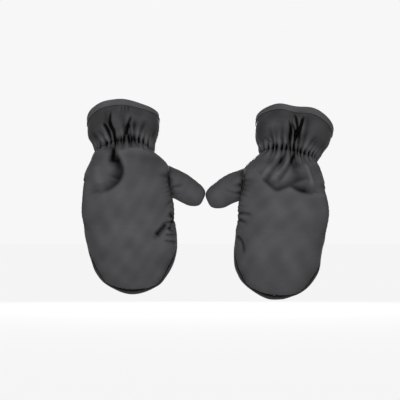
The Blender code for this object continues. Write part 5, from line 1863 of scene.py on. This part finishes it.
class MUFF_OT_body_panels(bpy.types.Operator):
    """Make the padded body panels and their linings"""

    bl_idname = "muff.body_panels"
    bl_label = "Body panels"

    def execute(self, context):
        return dressed(context, front_panel, heel_panel, finger_panel)


class MUFF_OT_cuffs(bpy.types.Operator):
    """Make the cuffs, hem bands and wrist elastics"""

    bl_idname = "muff.cuffs"
    bl_label = "Cuffs"

    def execute(self, context):
        return dressed(context, cuff_pieces, hem_band, wrist_band)


class MUFF_OT_mouth_casings(bpy.types.Operator):
    """Make the gathered casings at the passage's mouths"""

    bl_idname = "muff.mouth_casings"
    bl_label = "Mouth casings"

    def execute(self, context):
        return dressed(context, mouth_casings)


class MUFF_OT_thumb_pockets(bpy.types.Operator):
    """Make the thumb pockets"""

    bl_idname = "muff.thumb_pockets"
    bl_label = "Thumb pockets"

    def execute(self, context):
        return dressed(context, thumb_pocket)


class MUFF_OT_flaps(bpy.types.Operator):
    """Make the flaps behind the passages and their stitches"""

    bl_idname = "muff.flaps"
    bl_label = "Flaps"

    def execute(self, context):
        return dressed(context, flap_pieces)


class MUFF_OT_press_studs(bpy.types.Operator):
    """Make the press studs that hold the flaps"""

    bl_idname = "muff.press_studs"
    bl_label = "Press studs"

    def execute(self, context):
        return dressed(context, press_studs)


class MUFF_OT_stage(bpy.types.Operator):
    """Make the floor, the light and the camera"""

    bl_idname = "muff.stage"
    bl_label = "Stage"

    def execute(self, context):
        stage = context.scene.muff_stage
        make_floor(stage)
        make_world(stage)
        area_lamp("front_lamp", FRONT_LAMP_PLACE, stage.front_power)
        area_lamp("back_lamp", BACK_LAMP_PLACE, stage.back_power)
        make_camera(stage)
        context.scene.view_settings.view_transform = "Standard"
        return {"FINISHED"}


OPERATORS = (
    MUFF_OT_body_panels,
    MUFF_OT_cuffs,
    MUFF_OT_mouth_casings,
    MUFF_OT_thumb_pockets,
    MUFF_OT_flaps,
    MUFF_OT_press_studs,
    MUFF_OT_stage,
)
SETTINGS = {
    "muff_cloth": MuffClothSettings,
    "muff_finish": MuffFinishSettings,
    "muff_stage": MuffStageSettings,
}


class MUFF_PT_panel(bpy.types.Panel):
    """Settings and steps of the pair of hand muffs"""

    bl_idname = "MUFF_PT_panel"
    bl_label = "Hand muffs"
    bl_space_type = "VIEW_3D"
    bl_region_type = "UI"
    bl_category = "Hand muffs"

    def draw(self, context):
        for label, settings in SETTINGS.items():
            box = self.layout.box()
            for key in settings.__annotations__:
                box.prop(getattr(context.scene, label), key)
        for operator in OPERATORS:
            self.layout.operator(operator.bl_idname)


def register():
    """Registers the settings, the operators and the panel, and hangs the settings on the scene."""
    for made in (*SETTINGS.values(), *OPERATORS, MUFF_PT_panel):
        bpy.utils.register_class(made)
    for label, settings in SETTINGS.items():
        setattr(bpy.types.Scene, label, bpy.props.PointerProperty(type=settings))


def unregister():
    """Takes back what register has done."""
    for label in SETTINGS:
        delattr(bpy.types.Scene, label)
    for made in (MUFF_PT_panel, *OPERATORS, *SETTINGS.values()):
        bpy.utils.unregister_class(made)


def main():
    """Makes every piece and the stage."""
    register()
    for operator in OPERATORS:
        group, name = operator.bl_idname.split(".")
        getattr(getattr(bpy.ops, group), name)()


if __name__ == "__main__":
    main()
